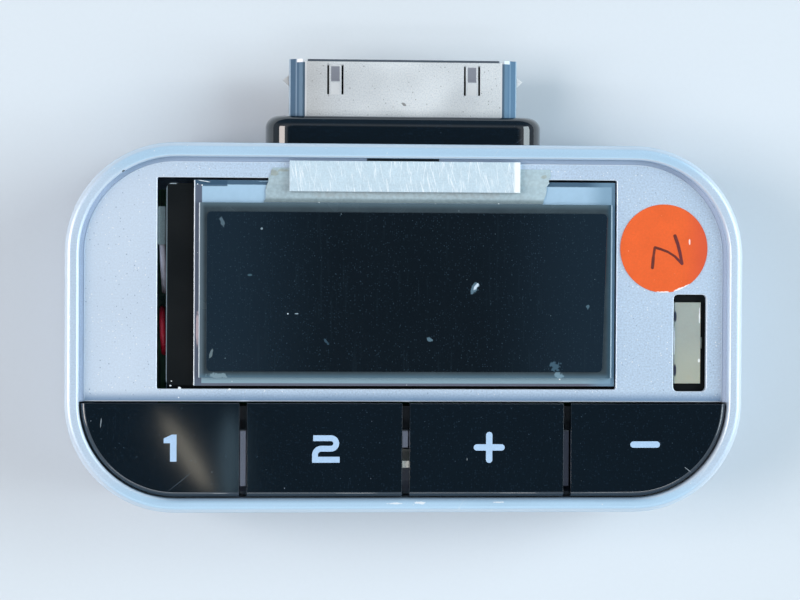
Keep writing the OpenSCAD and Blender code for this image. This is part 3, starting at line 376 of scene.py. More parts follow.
# %% [markdown]
# The shadow of a flat lamp has a soft edge, and the larger its screen, the softer. Two pairs stand left
# and right, one high and one low, so that the case catches light at two heights. The low pair is left out of
# mirror images, or it would whiten the keys when they are seen from the side. A narrow lamp stands in front.
# None stands behind, where the real collar mirrors a dark room.


# %% Lamps
def soft_lamp(name, at, wide, high, power, colour=(1.0, 1.0, 1.0), mirrored=True):
    """A lamp with a flat screen that faces the object, and may be left out of mirror images."""
    data = bpy.data.lights.new(name, "AREA")
    data.shape = "RECTANGLE"
    data.size, data.size_y, data.energy, data.color = wide, high, power, colour
    lamp = bpy.data.objects.new(name, data)
    bpy.context.scene.collection.objects.link(lamp)
    lamp.location = at
    lamp.visible_glossy = mirrored
    lamp.rotation_euler = (-Vector(at)).to_track_quat("-Z", "Y").to_euler()


soft_lamp("lamp_right", (0.64, 0.10, 0.54), 0.60, 0.42, 3.75, (0.85, 1.0, 1.06))
soft_lamp("lamp_left", (-0.60, 0.02, 0.60), 0.40, 0.38, 3.15, (1.11, 1.0, 0.95))
soft_lamp("lamp_front", (0.0, -0.36, 0.76), 0.70, 0.05, 0.4)
soft_lamp("lamp_side_right", (0.80, 0.08, 0.22), 0.50, 0.42, 3.0, mirrored=False)
soft_lamp("lamp_side_left", (-0.76, 0.10, 0.28), 0.40, 0.26, 1.3, mirrored=False)

# %% [markdown]
# Gloss shows whatever stands round it. The surroundings are painted from their direction alone: grey
# walls, a brighter ring, a dim patch overhead, a darker side behind the plug, and two faint glows that the
# first key mirrors. The camera itself sees plain pale paper there.

# %% Surroundings
world = bpy.data.worlds.new("studio")
bpy.context.scene.world = world
world.use_nodes = True
sky = world.node_tree
direction = add(sky, "ShaderNodeTexCoord").outputs["Generated"]
aim = add(sky, "ShaderNodeSeparateXYZ", {0: direction}).outputs
height = aim["Z"]
ring = blend_colours(sky, ramp(sky, height, 0.5, 0.8), tone(152, 161, 170), tone(192, 199, 205))
ring = blend_colours(sky, ramp(sky, aim["Y"], 0.3, 0.8), ring, tone(84, 104, 124))
overhead = blend_colours(sky, ramp(sky, height, 0.9, 0.975), ring, tone(66, 76, 86))
GLOWS = (((3.0, 2.8, 2.3, 1), (-6, -77, 0), (21, 3.2, 1), 1.0, 0.7),
         ((0.6, 0.95, 1.2, 1), (11, -80, 0), (4.5, 22, 1), 0.0, 0.5))
for colour, centre, half, by, ragged in GLOWS:
    sockets = {0: direction, 1: centre, 2: half, 3: by, 4: ragged}
    glow = add(sky, "ShaderNodeGroup", sockets, node_tree=mark_group)
    overhead = blend_colours(sky, glow.outputs[0], overhead, colour)
seen = add(sky, "ShaderNodeLightPath").outputs["Is Camera Ray"]
shown = blend_colours(sky, seen, overhead, tone(222, 229, 235))
sky.links.new(shown, sky.nodes["Background"].inputs["Color"])
bpy.context.scene.view_settings.view_transform = "Standard"
print("surroundings", world.name)

# %% [markdown]
# ## Small tools for meshes
# Most parts of the case are flat plates with rounded corners, holes and softened edges. A plate starts as one
# square face. Bevelling its corner points rounds them, cutting planes trim it, and extruding it gives its
# thickness. Bevelling the upper edges last puts the fine light line on them, which the lamps light and some
# finishes strengthen with a painted highlight.

# %% Mesh helpers
NEAR = 1e-3  # two places count as one within this distance, in millimetres
CORNER = 0.6  # an edge turns a corner from this angle on, in radians
LEVEL = 0.99999  # a face lies level if its normal's upward share is at least this
ARC = 24  # segments of a large rounded corner


def sheet(bm, low, high, z, radius=0.0, segments=12, turn_by=0.0):
    """Adds one flat face between two corners, with rounded corners."""
    made = bmesh.ops.create_grid(bm, x_segments=1, y_segments=1, size=0.5)["verts"]
    size = Vector(high) - Vector(low)
    middle = (Vector(low) + Vector(high)) / 2
    bmesh.ops.scale(bm, vec=(size.x, size.y, 1), verts=made)
    if radius:
        made = bmesh.ops.bevel(bm, geom=made, offset=radius, offset_type="OFFSET", affect="VERTICES",
                               segments=segments, profile=0.5, material=-1)["verts"]
    bmesh.ops.rotate(bm, cent=(0, 0, 0), matrix=Matrix.Rotation(turn_by, 3, "Z"), verts=made)
    bmesh.ops.translate(bm, vec=(middle.x, middle.y, z), verts=made)
    return made


def cut(bm, point, normal, keep_both=False):
    """Cuts everything and drops the side that the normal points to."""
    geometry = bm.verts[:] + bm.edges[:] + bm.faces[:]
    bmesh.ops.bisect_plane(bm, geom=geometry, dist=1e-5, plane_co=point, plane_no=normal,
                           clear_outer=not keep_both)


def fill_outlines(bm):
    """Turns nested outlines into one flat plate with holes."""
    bmesh.ops.delete(bm, geom=bm.faces[:], context="FACES_ONLY")
    bmesh.ops.triangle_fill(bm, use_beauty=True, use_dissolve=False, edges=bm.edges[:], normal=(0, 0, 1))


def raise_up(bm, thickness):
    """Gives flat faces a thickness, upwards."""
    grown = bmesh.ops.extrude_face_region(bm, geom=bm.faces[:])["geom"]
    top = [v for v in grown if isinstance(v, bmesh.types.BMVert)]
    bmesh.ops.translate(bm, vec=(0, 0, thickness), verts=top)
    bmesh.ops.recalc_face_normals(bm, faces=bm.faces[:])


def soften(bm, width, segments, chosen):
    """Rounds the chosen edges that turn a corner, and notes the new faces as an edge, where finishes can
    paint a highlight.
    """
    layer = bm.faces.layers.float.get(EDGE) or bm.faces.layers.float.new(EDGE)
    edges = [e for e in bm.edges if e.calc_face_angle(0) > CORNER and chosen(e)]
    made = bmesh.ops.bevel(bm, geom=edges, offset=width, offset_type="OFFSET", affect="EDGES",
                           segments=segments, profile=0.5, material=-1, clamp_overlap=True)
    for face in made["faces"]:
        face[layer] = 1.0


def draw_out(bm, edges, by):
    """Draws open edges out by a distance and gives back the new ones."""
    grown = bmesh.ops.extrude_edge_only(bm, edges=edges)["geom"]
    new = [v for v in grown if isinstance(v, bmesh.types.BMVert)]
    bmesh.ops.translate(bm, vec=by, verts=new)
    return [e for e in grown if isinstance(e, bmesh.types.BMEdge) and all(v in new for v in e.verts)]


def swing(bm, edges, centre, axis, angle, steps):
    """Spins edges round a centre and gives back the last ones."""
    last = bmesh.ops.spin(bm, geom=edges, cent=centre, axis=axis, angle=angle, steps=steps)["geom_last"]
    return [e for e in last if isinstance(e, bmesh.types.BMEdge)]


def at_height(z):
    """Chooses the edges that lie at one height."""
    return lambda e: all(abs(v.co.z - z) < NEAR for v in e.verts)


def finish(bm, name, finish_used, body="housing", nodes=(), angle=40):
    """Makes the mesh a piece in metres that rides on a body and stands for solids."""
    bmesh.ops.scale(bm, vec=(MM, MM, MM), verts=bm.verts)
    data = bpy.data.meshes.new(name)
    bm.to_mesh(data)
    bm.free()
    data.set_sharp_from_angle(angle=math.radians(angle))
    for polygon in data.polygons:
        polygon.use_smooth = abs(polygon.normal.z) < LEVEL
    data.materials.append(finish_used.material)
    piece = bpy.data.objects.new(name, data)
    bpy.context.scene.collection.objects.link(piece)
    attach(piece, body)
    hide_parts(*nodes)
    print(name, len(data.polygons), "faces")
    return piece


def bar(name, finish_used, low, high, base, top, corner, rounding, nodes=()):
    """A flat bar between two corners, with rounded corners and a softened upper edge.

    The corner and the rounding are each a radius and a number of segments.
    """
    bm = bmesh.new()
    sheet(bm, low, high, base, *corner)
    raise_up(bm, top - base)
    soften(bm, *rounding, at_height(top))
    finish(bm, name, finish_used, nodes=nodes)


# %% [markdown]
# ## Silver paint
# The case is moulded plastic under satin silver paint. Metal flakes in the paint make a grain of light and
# dark dots a tenth of a millimetre wide. It could be a metal shader, but then it would mirror the room like
# steel, so it stays a plastic with a slight metal share. Painted shade makes the upper side of the rim a
# little bluer along the case's long sides and darker just below the keys, and it makes the fascia darker
# along its lower edge. Painted light makes the fascia a little lighter at its left end, and sloping faces and
# softened edges carry a painted highlight.

# %% Silver paint
paint = Finish("silver_paint", (196, 214, 232), 0.34, 0.25, grain=(0.14, 0.16), blotch=(9, 0.02), bump=0.3)
case_height = paint.axis("Z")
# Painted shade: the upper side of the rim along the case's long sides is painted a little bluer and darker.
long_sides = ramp(paint.tree, paint.axis("Y", absolute=True), 13.0, 15.5)
near_top = paint.between(case_height, case_high.z - 1.0, case_high.z + 2.0, 0.8)
paint.lay(paint.both(long_sides, near_top), (173, 214, 241), 0.6)
paint.specks((246, 250, 253), 0.5, 0.05, 0.4, 0.7)
paint.specks((60, 70, 80), 2.6, 0.05, 0.2, 0.5)
paint.scratches((240, 246, 250), 0.6, 0.9, 0.25, 0.35)
# Painted highlight: faces that slope round the edges are painted lighter.
slope_for_highlight = add(paint.tree, "ShaderNodeSeparateXYZ",
            {0: add(paint.tree, "ShaderNodeTexCoord").outputs["Normal"]}).outputs["Z"]
paint.band(slope_for_highlight, 0.35, 0.9, (222, 233, 244), 0.65, 0.08)
spot = paint.group(mark_group, {"Centre": (-25.62, 14.06, 0), "Half": (0.2, 0.16, 1), "Ragged": 0.3})
rim_top = paint.between(case_height, case_high.z - 0.35, case_high.z + 0.1)
paint.lay(paint.both(spot.outputs[0], rim_top), (36, 44, 52), 0.9)
# Painted shade: the rim's upper side just below the keys is painted darker.
shade_below_keys = paint.both(paint.between(paint.axis("Y"), -15.75, -15.2, 0.2),
                        paint.between(paint.axis("X", absolute=True), -1, 22, 2.0))
paint.lay(paint.both(shade_below_keys, rim_top), (112, 144, 170), 0.6)
RIM_MARKS = (((-1.0, -15.9), (1.0, 0.08)), ((1.3, -15.85), (0.6, 0.14)), ((26.6, -15.3), (0.4, 0.1)),
             ((8.5, -15.8), (0.5, 0.07)))
for at, half in RIM_MARKS:
    paint.mark((246, 250, 254), at, half, ragged=0.9, strength=0.8)

satin = Finish("fascia_silver", (196, 215, 235), 0.32, 0.25, grain=(0.16, 0.3), blotch=(12, 0.03), bump=0.25)
# Painted light: the fascia is painted lighter towards its left end.
satin.fade(satin.axis("X"), -15.0, -26.0, (219, 230, 243), 0.6)
satin.specks((246, 250, 254), 0.3, 0.055, 0.5, 0.9)
satin.specks((146, 166, 190), 0.33, 0.055, 0.45, 0.8)
# Painted shade: the fascia is painted darker along its lower edge, next to the keys.
satin.fade(satin.axis("Y"), fascia_low.y + 1.1, fascia_low.y + 0.05, (92, 130, 168), 0.8)
# Painted highlight along the fascia's softened edges.
satin.edge_highlight((236, 243, 250), 0.6)
print("silver finishes ready")

# %% [markdown]
# ## Gloss black plastic
# The keys and the plug's collar are piano black. Nearly all that one sees of it is reflection, so its
# own colour hardly matters, and what makes it real is dust, a few hair scratches and a faint haze.

# %% Gloss black
gloss = Finish("gloss_black", (4, 16, 25), 0.05, grain=(0.22, 0.25), blotch=(5, 0.2))
gloss.specks((70, 90, 106), 0.4, 0.042, 0.3, 0.5)
gloss.specks((40, 60, 78), 0.17, 0.05, 0.5, 0.4)
gloss.specks((150, 165, 180), 1.6, 0.04, 0.2, 0.75)
gloss.specks((220, 230, 238), 4.5, 0.055, 0.25, 0.9)
gloss.scratches((92, 104, 116), 0.9, 1.3, 0.12, 0.35)
for at, half, by in (((-27.6, -8.6), (0.06, 0.5), 0.1), ((26.0, -12.9), (0.05, 0.5), -0.9),
                     ((5.6, -11.9), (0.05, 0.14), 0.0)):
    gloss.mark((150, 160, 168), at, half, by, 0.3, 0.7)
# Painted highlight along the keys' softened edges.
gloss.edge_highlight((64, 78, 92), 0.5)
gloss.set(coat_weight=1.0, coat_roughness=0.04)

matt = Finish("soft_black", (9, 15, 18), 0.42, grain=(0.18, 0.2), blotch=(4, 0.15), bump=0.3)
matt.specks((120, 138, 148), 1.0, 0.04, 0.2, 0.6)
matt.specks((96, 84, 52), 2.2, 0.05, 0.2, 0.6)
matt.shader.inputs["Specular IOR Level"].default_value = 0.2
frame_low, frame_high = corners("lcd_frame")
x, y = matt.axis("X"), matt.axis("Y")
# Painted highlight: thin light lines along the frame's left edge and its upper left end.
matt.band(x, frame_low.x, frame_low.x + 0.08, (150, 166, 176), 0.6, 0.02)
matt.patch((y, frame_high.y - 0.09, frame_high.y, 0.02), (x, frame_low.x, frame_low.x + 0.9, 0.1),
           (170, 184, 192), 0.7)
print("black finishes ready")

# %% [markdown]
# ## Keys
# Each key is a black cap that follows the rim's curve. The four caps are cut from one rounded plate, so
# that their outer edges run on from one to the next. The edge along the rim is rounder than the edges
# along the gaps. The figures are printed on, a few hundredths of a millimetre high, and ride with the key.

# %% Keycaps
KEYS = ("one", "two", "plus", "minus")
RIM_WIDTH, KEY_GAP, CAP_RADIUS = 1.3, 0.13, 8.57
RIM_EDGE, GAP_EDGE, WITHIN_ROW = 0.42, 0.12, 20
field_low = (case_low.x + RIM_WIDTH + KEY_GAP, case_low.y + RIM_WIDTH + KEY_GAP)
field_high = (case_high.x - RIM_WIDTH - KEY_GAP, case_high.y - RIM_WIDTH - KEY_GAP)


def lies_on(e, axis, value):
    """Tells whether an edge lies in an upright plane."""
    return all(abs(v.co[axis] - value) < NEAR for v in e.verts)


for key in KEYS:
    low, high = corners(f"keycap_{key}")
    inner_sides = [x for x in (low.x, high.x) if abs(x) < WITHIN_ROW]
    cap = bmesh.new()
    sheet(cap, field_low, field_high, low.z, CAP_RADIUS, ARC)
    cut(cap, (0, high.y, 0), (0, 1, 0))
    for x in inner_sides:
        cut(cap, (x, 0, 0), (1 if x == high.x else -1, 0, 0))
    raise_up(cap, high.z - low.z)
    on_top = at_height(high.z)
    straight = {(1, high.y), *((0, x) for x in inner_sides)}
    soften(cap, RIM_EDGE, 6, lambda e: on_top(e) and not any(lies_on(e, *plane) for plane in straight))
    soften(cap, GAP_EDGE, 3, on_top)
    finish(cap, f"cap_{key}", gloss, f"key_{key}", [f"keycap_{key}"])

# %% [markdown]
# ## Solids that keep their shape
# Parts with a simple true shape, such as the shells, the boards and the screws, keep the exact mesh of
# their solid and only get a finish.


# %% Finish for kept solids
def dress(finish_used, *names):
    """Gives kept solids their finish."""
    for name in names:
        solids[name].data.materials.clear()
        solids[name].data.materials.append(finish_used.material)


print_blue = Finish("legend_print", (168, 197, 227), 0.45, grain=(0.15, 0.12), blotch=(1.0, 0.05), bump=0.3)
print_blue.specks((120, 140, 165), 0.35, 0.03, 0.3, 0.5)
dress(print_blue, "legend_one", "legend_plus", "legend_minus")
dress(paint, "front_bezel", "rear_cover")
dress(gloss, "dock_collar")
dress(matt, "lcd_frame", "light_pipe_holder", "board_header", "dock_insulator")

# %% [markdown]
# The printed two has round bows. It is drawn like a ribbon: a short edge is drawn out straight, swung
# round the upper bow, drawn out again and swung the other way. A bar closes it below. It is drawn in small
# units, 27 of them high, and scaled to its size on the key at the end.

# %% Figure two
low, high = corners("legend_two")
UNIT, BAR, FIGURE = 0.0925, 5.8, 27.0
two = bmesh.new()
edge = [two.edges.new([two.verts.new((0.9, y, 0)) for y in (21.2, 26.9)])]
edge = draw_out(two, edge, (17.5, 0, 0))
edge = swing(two, edge, (18.4, 18.9, 0), (0, 0, 1), -math.pi, 16)
edge = draw_out(two, edge, (-9.5, 0, 0))
edge = swing(two, edge, (8.9, 7.6, 0), (0, 0, 1), math.pi / 2, 10)
draw_out(two, edge, (0, BAR - 7.6, 0))
sheet(two, (-0.1, 0), (FIGURE, BAR), 0, 0.3, 3)
bmesh.ops.remove_doubles(two, verts=two.verts, dist=1e-3)
bmesh.ops.translate(two, vec=(-FIGURE / 2, -FIGURE / 2, 0), verts=two.verts)
bmesh.ops.scale(two, vec=(UNIT, UNIT, 1), verts=two.verts)
bmesh.ops.translate(two, vec=((low.x + high.x) / 2, (low.y + high.y) / 2, low.z), verts=two.verts)
raise_up(two, high.z - low.z)
finish(two, "figure_two", print_blue, "key_two", ["legend_two"])

# %% [markdown]
# ## Fascia
# The fascia is a thin plate that lies inside the rim, with the display's window, the slot for the light
# and a shallow notch in its upper edge. Outlines inside one another are filled to a plate with holes,
# which keeps every edge clean for the bevel.

# %% Fascia plate
WINDOW_LOW, WINDOW_HIGH = (-22.62, -5.56), (19.33, 13.6)
SLOT_LOW, SLOT_HIGH = (24.655, fascia_low.y + 1.0), (27.705, fascia_low.y + 9.9)
NOTCH_LEFT, NOTCH_RIGHT, NOTCH_DEPTH = -3.65, 2.95, 0.25
FASCIA_RADIUS = 8.33
plate = bmesh.new()
sheet(plate, (fascia_low.x, -fascia_high.y), fascia_high.xy, fascia_low.z, FASCIA_RADIUS, ARC)
cut(plate, (0, fascia_low.y, 0), (0, -1, 0))
notch_y = fascia_high.y - NOTCH_DEPTH
for x in (NOTCH_LEFT, NOTCH_RIGHT):
    cut(plate, (x, 0, 0), (1, 0, 0), keep_both=True)
cut(plate, (0, notch_y, 0), (0, 1, 0), keep_both=True)
middles = {f: f.calc_center_median() for f in plate.faces}
notch = [f for f, m in middles.items() if m.y > notch_y and NOTCH_LEFT < m.x < NOTCH_RIGHT]
bmesh.ops.delete(plate, geom=notch, context="FACES")
bmesh.ops.dissolve_faces(plate, faces=plate.faces[:])
sheet(plate, WINDOW_LOW, WINDOW_HIGH, fascia_low.z, 0.15, 3)
sheet(plate, SLOT_LOW, SLOT_HIGH, fascia_low.z, 0.4, 6)
fill_outlines(plate)
raise_up(plate, fascia_high.z - fascia_low.z)


def inside(e, low, high, margin=0.1):
    """Tells whether an edge lies inside a rectangle."""
    return all(low[axis] - margin < v.co[axis] < high[axis] + margin for v in e.verts for axis in (0, 1))


def round_opening(e):
    """Chooses the upper edges of the window and of the slot."""
    return on_top(e) and (inside(e, WINDOW_LOW, WINDOW_HIGH) or inside(e, SLOT_LOW, SLOT_HIGH))


on_top = at_height(fascia_high.z)
soften(plate, 0.06, 2, round_opening)
soften(plate, 0.12, 3, on_top)
finish(plate, "fascia", satin, nodes=["fascia_plate"])

# %% [markdown]
# Round the fascia runs a narrow step of the case, a little lower than the plate. Light falls on it from the
# sides, so it looks silver left and right. Its edges carry a painted highlight. Painted shade makes it duller
# along the upper edge, where the rim shades it, and paints it black where the plate's notch lets one look
# inside. The step is a ring between two rounded outlines, cut off where the keys begin.

# %% Step round the fascia
STEP_HEIGHT, STEP_GAP, STEP_RADIUS = 0.52, 0.01, 8.69
step_silver = Finish("step_silver", (186, 200, 222), 0.4, 0.1, grain=(0.14, 0.14), bump=0.2)
step_silver.edge_highlight((236, 246, 255), 0.8)
x, y = step_silver.axis("X"), step_silver.axis("Y")
# Painted shade: duller along the upper side, and black in the notch.
step_silver.fade(y, 12.2, 14.6, (146, 166, 190), 0.75)
step_silver.patch((x, NOTCH_LEFT, NOTCH_RIGHT, 0.03), (y, 14.0, 16.0), (8, 24, 38))
step = bmesh.new()
from_case = RIM_WIDTH + STEP_GAP
sheet(step, (case_low.x + from_case, case_low.y + from_case),
      (case_high.x - from_case, case_high.y - from_case), fascia_low.z, STEP_RADIUS, ARC)
sheet(step, (fascia_low.x - STEP_GAP, -fascia_high.y - STEP_GAP),
      (fascia_high.x + STEP_GAP, fascia_high.y + STEP_GAP), fascia_low.z, FASCIA_RADIUS + STEP_GAP, ARC)
fill_outlines(step)
cut(step, (0, fascia_low.y, 0), (0, -1, 0))
raise_up(step, STEP_HEIGHT)
soften(step, 0.09, 2, at_height(fascia_low.z + STEP_HEIGHT))
finish(step, "fascia_step", step_silver)

# %% [markdown]
# ## Display
# The display is two plates of glass that lie in a black frame. The lower plate is wider and shows a
# silvery ledge along the top, where its contacts run. A dark film covers the upper plate up to a narrow
# border, and the light that gets in round the film makes that border a dull grey green. Clear glass over
# dark layers would need much light to pass through, so the plates carry the colours that one sees in
# them, under a clear coat that gives the gloss of glass. In the photograph the plates and the film reach
# a few tenths of a millimetre further than their solids, or less far, and here they follow it.

# %% Lower glass
lower_low, lower_high = corners("lcd_lower_glass")
upper_low, upper_high = corners("lcd_upper_glass")
film_low, film_high = corners("lcd_front_polariser")
film_high.x += 0.3
film_high.y -= 0.12
film_low.y += 0.14
lower_high.x += 0.16
lower_high.y += 0.3
upper_high.x += 0.26
ledge = Finish("ledge_glass", (172, 204, 228), 0.15, 0.1, grain=(0.5, 0.05), blotch=(4, 0.06))
x, y = ledge.axis("X"), ledge.axis("Y")
wavy = sum_of(ledge.tree, "MULTIPLY_ADD", ledge.height, 0.25, y)
nearly_straight = sum_of(ledge.tree, "MULTIPLY_ADD", ledge.height, 0.06, y)
ledge.band(wavy, lower_low.y + 0.3, lower_low.y + 1.2, (142, 170, 184))
ledge.band(y, lower_low.y - 1, lower_low.y + 0.24, (104, 108, 124))
ledge.band(x, lower_low.x - 1, lower_low.x + 0.72, (96, 106, 124))
ledge.band(x, lower_high.x - 0.34, lower_high.x + 1, (58, 76, 98), soft=0.03)
ledge.band(nearly_straight, lower_high.y - 0.39, lower_high.y + 1, (58, 86, 110), 0.92, 0.05)
ledge.patch((nearly_straight, lower_high.y - 0.54, lower_high.y, 0.05), (x, lower_low.x + 0.7, -16.3),
            (58, 86, 110), 0.9)
ledge.mark((16, 26, 36), (lower_high.x - 0.24, 12.0), (0.08, 0.9), 0.08, 0.4, 0.9)
ledge.mark((232, 241, 247), (lower_low.x + 0.9, lower_high.y - 0.12), (0.6, 0.05), 0.16, 0.5, 0.9)
ledge.mark((150, 182, 204), (-12.4, lower_high.y - 0.1), (1.6, 0.06), 0.0, 0.9, 0.8)
ledge.fade(x, 16.2, 18.4, (122, 156, 180), 0.7)
ledge.mark((206, 190, 198), (-18.98, -0.2), (0.16, 1.8), ragged=0.35)
ledge.specks((225, 235, 240), 0.8, 0.06, 0.3, 0.6)
# Painted highlight: a light line along the lower plate's left edge.
ledge.band(x, lower_low.x - 1, lower_low.x + 0.1, (206, 218, 228), soft=0.02)
ledge.set(coat_weight=1.0, coat_roughness=0.03)
bar("lower_glass", ledge, lower_low.xy, lower_high.xy, lower_low.z, lower_high.z, (0.05, 2), (0.04, 2),
    ["lcd_lower_glass"])

# %% [markdown]
# The border of the upper plate isn't even: painted light makes it lightest at its outer edge, from where it
# fades into the film, a thin painted highlight runs along its left and right edges, and old glue has left
# smears along its lower side.

# %% Upper glass
border = Finish("border_glass", (54, 67, 74), 0.25, grain=(0.35, 0.15), blotch=(2.5, 0.25))
x, y = border.axis("X"), border.axis("Y")
# Painted light: the border is painted lighter towards its outer edges.
border.fade(y, film_high.y + 0.25, upper_high.y, (82, 102, 112), 0.9)
border.fade(x, film_low.x - 0.12, upper_low.x + 0.2, (92, 108, 118), 0.8)
border.fade(y, film_low.y - 0.05, upper_low.y - 0.1, (86, 115, 132), 0.9)
border.fade(x, film_high.x + 0.02, upper_high.x - 0.1, (48, 76, 92), 0.9)
# Painted highlight: thin light lines along the plate's left and right edges.
border.band(x, upper_high.x - 0.12, upper_high.x + 1, (160, 186, 204), 0.8, 0.02)
border.band(x, upper_low.x - 1, upper_low.x + 0.1, (176, 190, 200), 0.9, 0.02)
border.mark((128, 152, 162), (-17.1, -4.4), (1.0, 0.35), ragged=0.9, strength=0.8)
border.mark((120, 150, 166), (14.0, -4.3), (0.5, 0.4), ragged=0.9, strength=0.8)
border.specks((205, 218, 226), 0.9, 0.05, 0.3, 0.6)
border.set(coat_weight=1.0, coat_roughness=0.03)
bar("upper_glass", border, upper_low.xy, upper_high.xy, upper_low.z, upper_high.z, (0.05, 2), (0.04, 2),
    ["lcd_upper_glass"])

# %% [markdown]
# The film is nearly black with a faint blue cast, a little lighter towards its sides. It was cut by hand,
# so its right edge leans a little. Small smears, dust and one bright fleck of glue lie on it at known
# places. Each mark has its place, its half size, its turn, its raggedness and its colour.

# %% Front film
dark = Finish("front_film", (11, 20, 27), 0.12, grain=(0.2, 0.25), blotch=(7, 0.2))
film_middle, film_half = (film_low + film_high) / 2, (film_high - film_low) / 2
from_middle = sum_of(dark.tree, "ABSOLUTE",
                     sum_of(dark.tree, "SUBTRACT", dark.axis("X"), film_middle.x))
dark.fade(from_middle, film_half.x * 0.3, film_half.x, (24, 39, 51), 0.85)
dark.scratches((36, 52, 62), 0.0, 0.35, 0.6, 0.14)
dark.specks((62, 84, 98), 0.33, 0.042, 0.6, 0.55)
dark.specks((46, 66, 80), 0.17, 0.05, 0.5, 0.4)
dark.specks((120, 145, 158), 1.3, 0.045, 0.45, 0.7)
dark.specks((200, 215, 224), 4.2, 0.06, 0.25, 0.85)
FILM_MARKS = (
    ((-16.75, 9.6), (0.2, 0.55), -0.35, 0.7, (84, 104, 116)),
    ((-13.2, 9.0), (0.13, 0.13), 0.0, 0.4, (130, 150, 160)),
    ((-14.2, 4.8), (0.3, 0.12), 0.0, 0.8, (66, 92, 104)),
    ((-17.7, -2.3), (0.14, 0.5), 0.3, 0.7, (104, 120, 126)),
    ((-10.8, 1.3), (0.08, 0.08), 0.0, 0.2, (200, 215, 225)),
    ((-10.0, 1.3), (0.2, 0.06), 0.0, 0.4, (150, 170, 182)),
    ((6.2, 3.7), (0.62, 0.36), -0.7, 1.3, (92, 118, 134)),
    ((6.35, 3.85), (0.36, 0.16), -0.9, 0.9, (206, 222, 236)),
    ((2.1, -1.0), (0.34, 0.2), 0.4, 1.0, (88, 114, 128)),
    ((-7.3, -1.2), (0.4, 0.12), 0.9, 1.0, (52, 74, 88)),
    ((13.6, -3.4), (0.5, 0.5), 0.0, 1.1, (66, 92, 108)),
    ((16.6, 2.0), (0.16, 0.22), 0.0, 1.0, (78, 104, 118)),
)
for at, half, by, ragged, colour in FILM_MARKS:
    dark.mark(colour, at, half, by, ragged, 0.9)
FILM_LEAN = 0.2
film = bmesh.new()
sheet(film, film_low.xy, film_high.xy, film_low.z, 0.45, 6)
for v in film.verts:
    if v.co.x > film_middle.x:
        v.co.x += FILM_LEAN * (v.co.y - film_middle.y) / film_half.y
raise_up(film, film_high.z - film_low.z)
soften(film, 0.03, 1, at_height(film_high.z))
finish(film, "front_film", dark, nodes=["lcd_front_polariser"])

# %% [markdown]
# Under the glass lie a silvery film, a clear light guide and a white film that throws the light back up.
# Little of them is seen, so each has a plain finish of its own.

# %% Layers under the glass
clear_guide = Finish("light_guide", (215, 225, 235), 0.1, grain=(0.3, 0.02))
clear_guide.set(transmission_weight=0.6)
lamp_white = Finish("lamp_white", (240, 242, 234), 0.3, grain=(0.2, 0.05), blotch=(1, 0.08))
dress(clear_guide, "backlight_guide")
dress(lamp_white, "backlight_led", "key_led", "status_led", "flex_socket")
dress(Finish("rear_film", (170, 185, 195), 0.3, 0.3, grain=(0.2, 0.05)), "lcd_rear_polariser")
dress(Finish("reflector_white", (232, 234, 235), 0.6, grain=(0.2, 0.03)), "backlight_reflector")
dress(Finish("flex_film", (176, 118, 48), 0.25, grain=(0.2, 0.05), blotch=(2, 0.1)), "lcd_flex")

# %% [markdown]
# ## Tape and strip
# A piece of clear tape holds the glass to the fascia. It is torn, not cut, so its ends are ragged, and it
# has yellowed. A grid of small faces lets its ends be pushed in and out at random and lets it sag from the
# fascia down to the glass. On it sticks a stiff white strip whose surface shows fine upright fibres.

# %% Clear tape
tape_low, tape_high = corners("fixing_tape")
aged = Finish("clear_tape", (176, 196, 204), 0.3, grain=(0.3, 0.05), blotch=(1.6, 0.05), bump=0.3)
aged.fade(aged.axis("X"), 10.5, 12.0, (190, 212, 220), 0.7)
aged.band(aged.axis("Y"), tape_low.y - 1, tape_low.y + 0.35, (112, 128, 132), 0.7, 0.15)
for at, size in (((-12.3, 14.1), (0.7, 0.3)), ((-12.8, 13.4), (0.14, 0.9)), ((12.6, 13.9), (0.3, 0.2)),
                 ((-11.2, 14.3), (0.6, 0.15))):
    aged.mark((158, 158, 138), at, size, ragged=1.0, strength=0.5)
see_through = ramp(aged.tree, aged.height, 0.3, 0.7, 0.74, 0.86)
aged.tree.links.new(see_through, aged.shader.inputs["Alpha"])
chance = random.Random(7)
TAPE_LEAN, TEAR, SAG = 0.65, 0.12, 0.16
SAG_FROM, SAG_OVER = 13.5, 0.5
tape_size, tape_middle = tape_high - tape_low, (tape_low + tape_high) / 2
tape = bmesh.new()
bmesh.ops.create_grid(tape, x_segments=60, y_segments=10, size=0.5)
bmesh.ops.scale(tape, vec=(tape_size.x - TAPE_LEAN, tape_size.y, 1), verts=tape.verts)
bmesh.ops.translate(tape, vec=(tape_middle.x, tape_middle.y, 0), verts=tape.verts)
left, right = min(v.co.x for v in tape.verts), max(v.co.x for v in tape.verts)
for v in tape.verts:
    if v.co.x < left + 0.01 or v.co.x > right - 0.01:
        v.co.x += chance.uniform(-TEAR, TEAR)
    v.co.x += (v.co.y - tape_middle.y) / tape_size.y * TAPE_LEAN
    drop = max(0.0, min(1.0, (SAG_FROM - v.co.y) / SAG_OVER))
    v.co.z = fascia_high.z + 0.02 - SAG * drop * drop * (3 - 2 * drop)
raise_up(tape, 0.05)
finish(tape, "tape", aged, nodes=["fixing_tape"])

# %% [markdown]
# The strip is a flat bar with crisp edges. Its fibres are hair scratches in four directions close to
# upright, the same effect that marks the keys, only denser and paler.

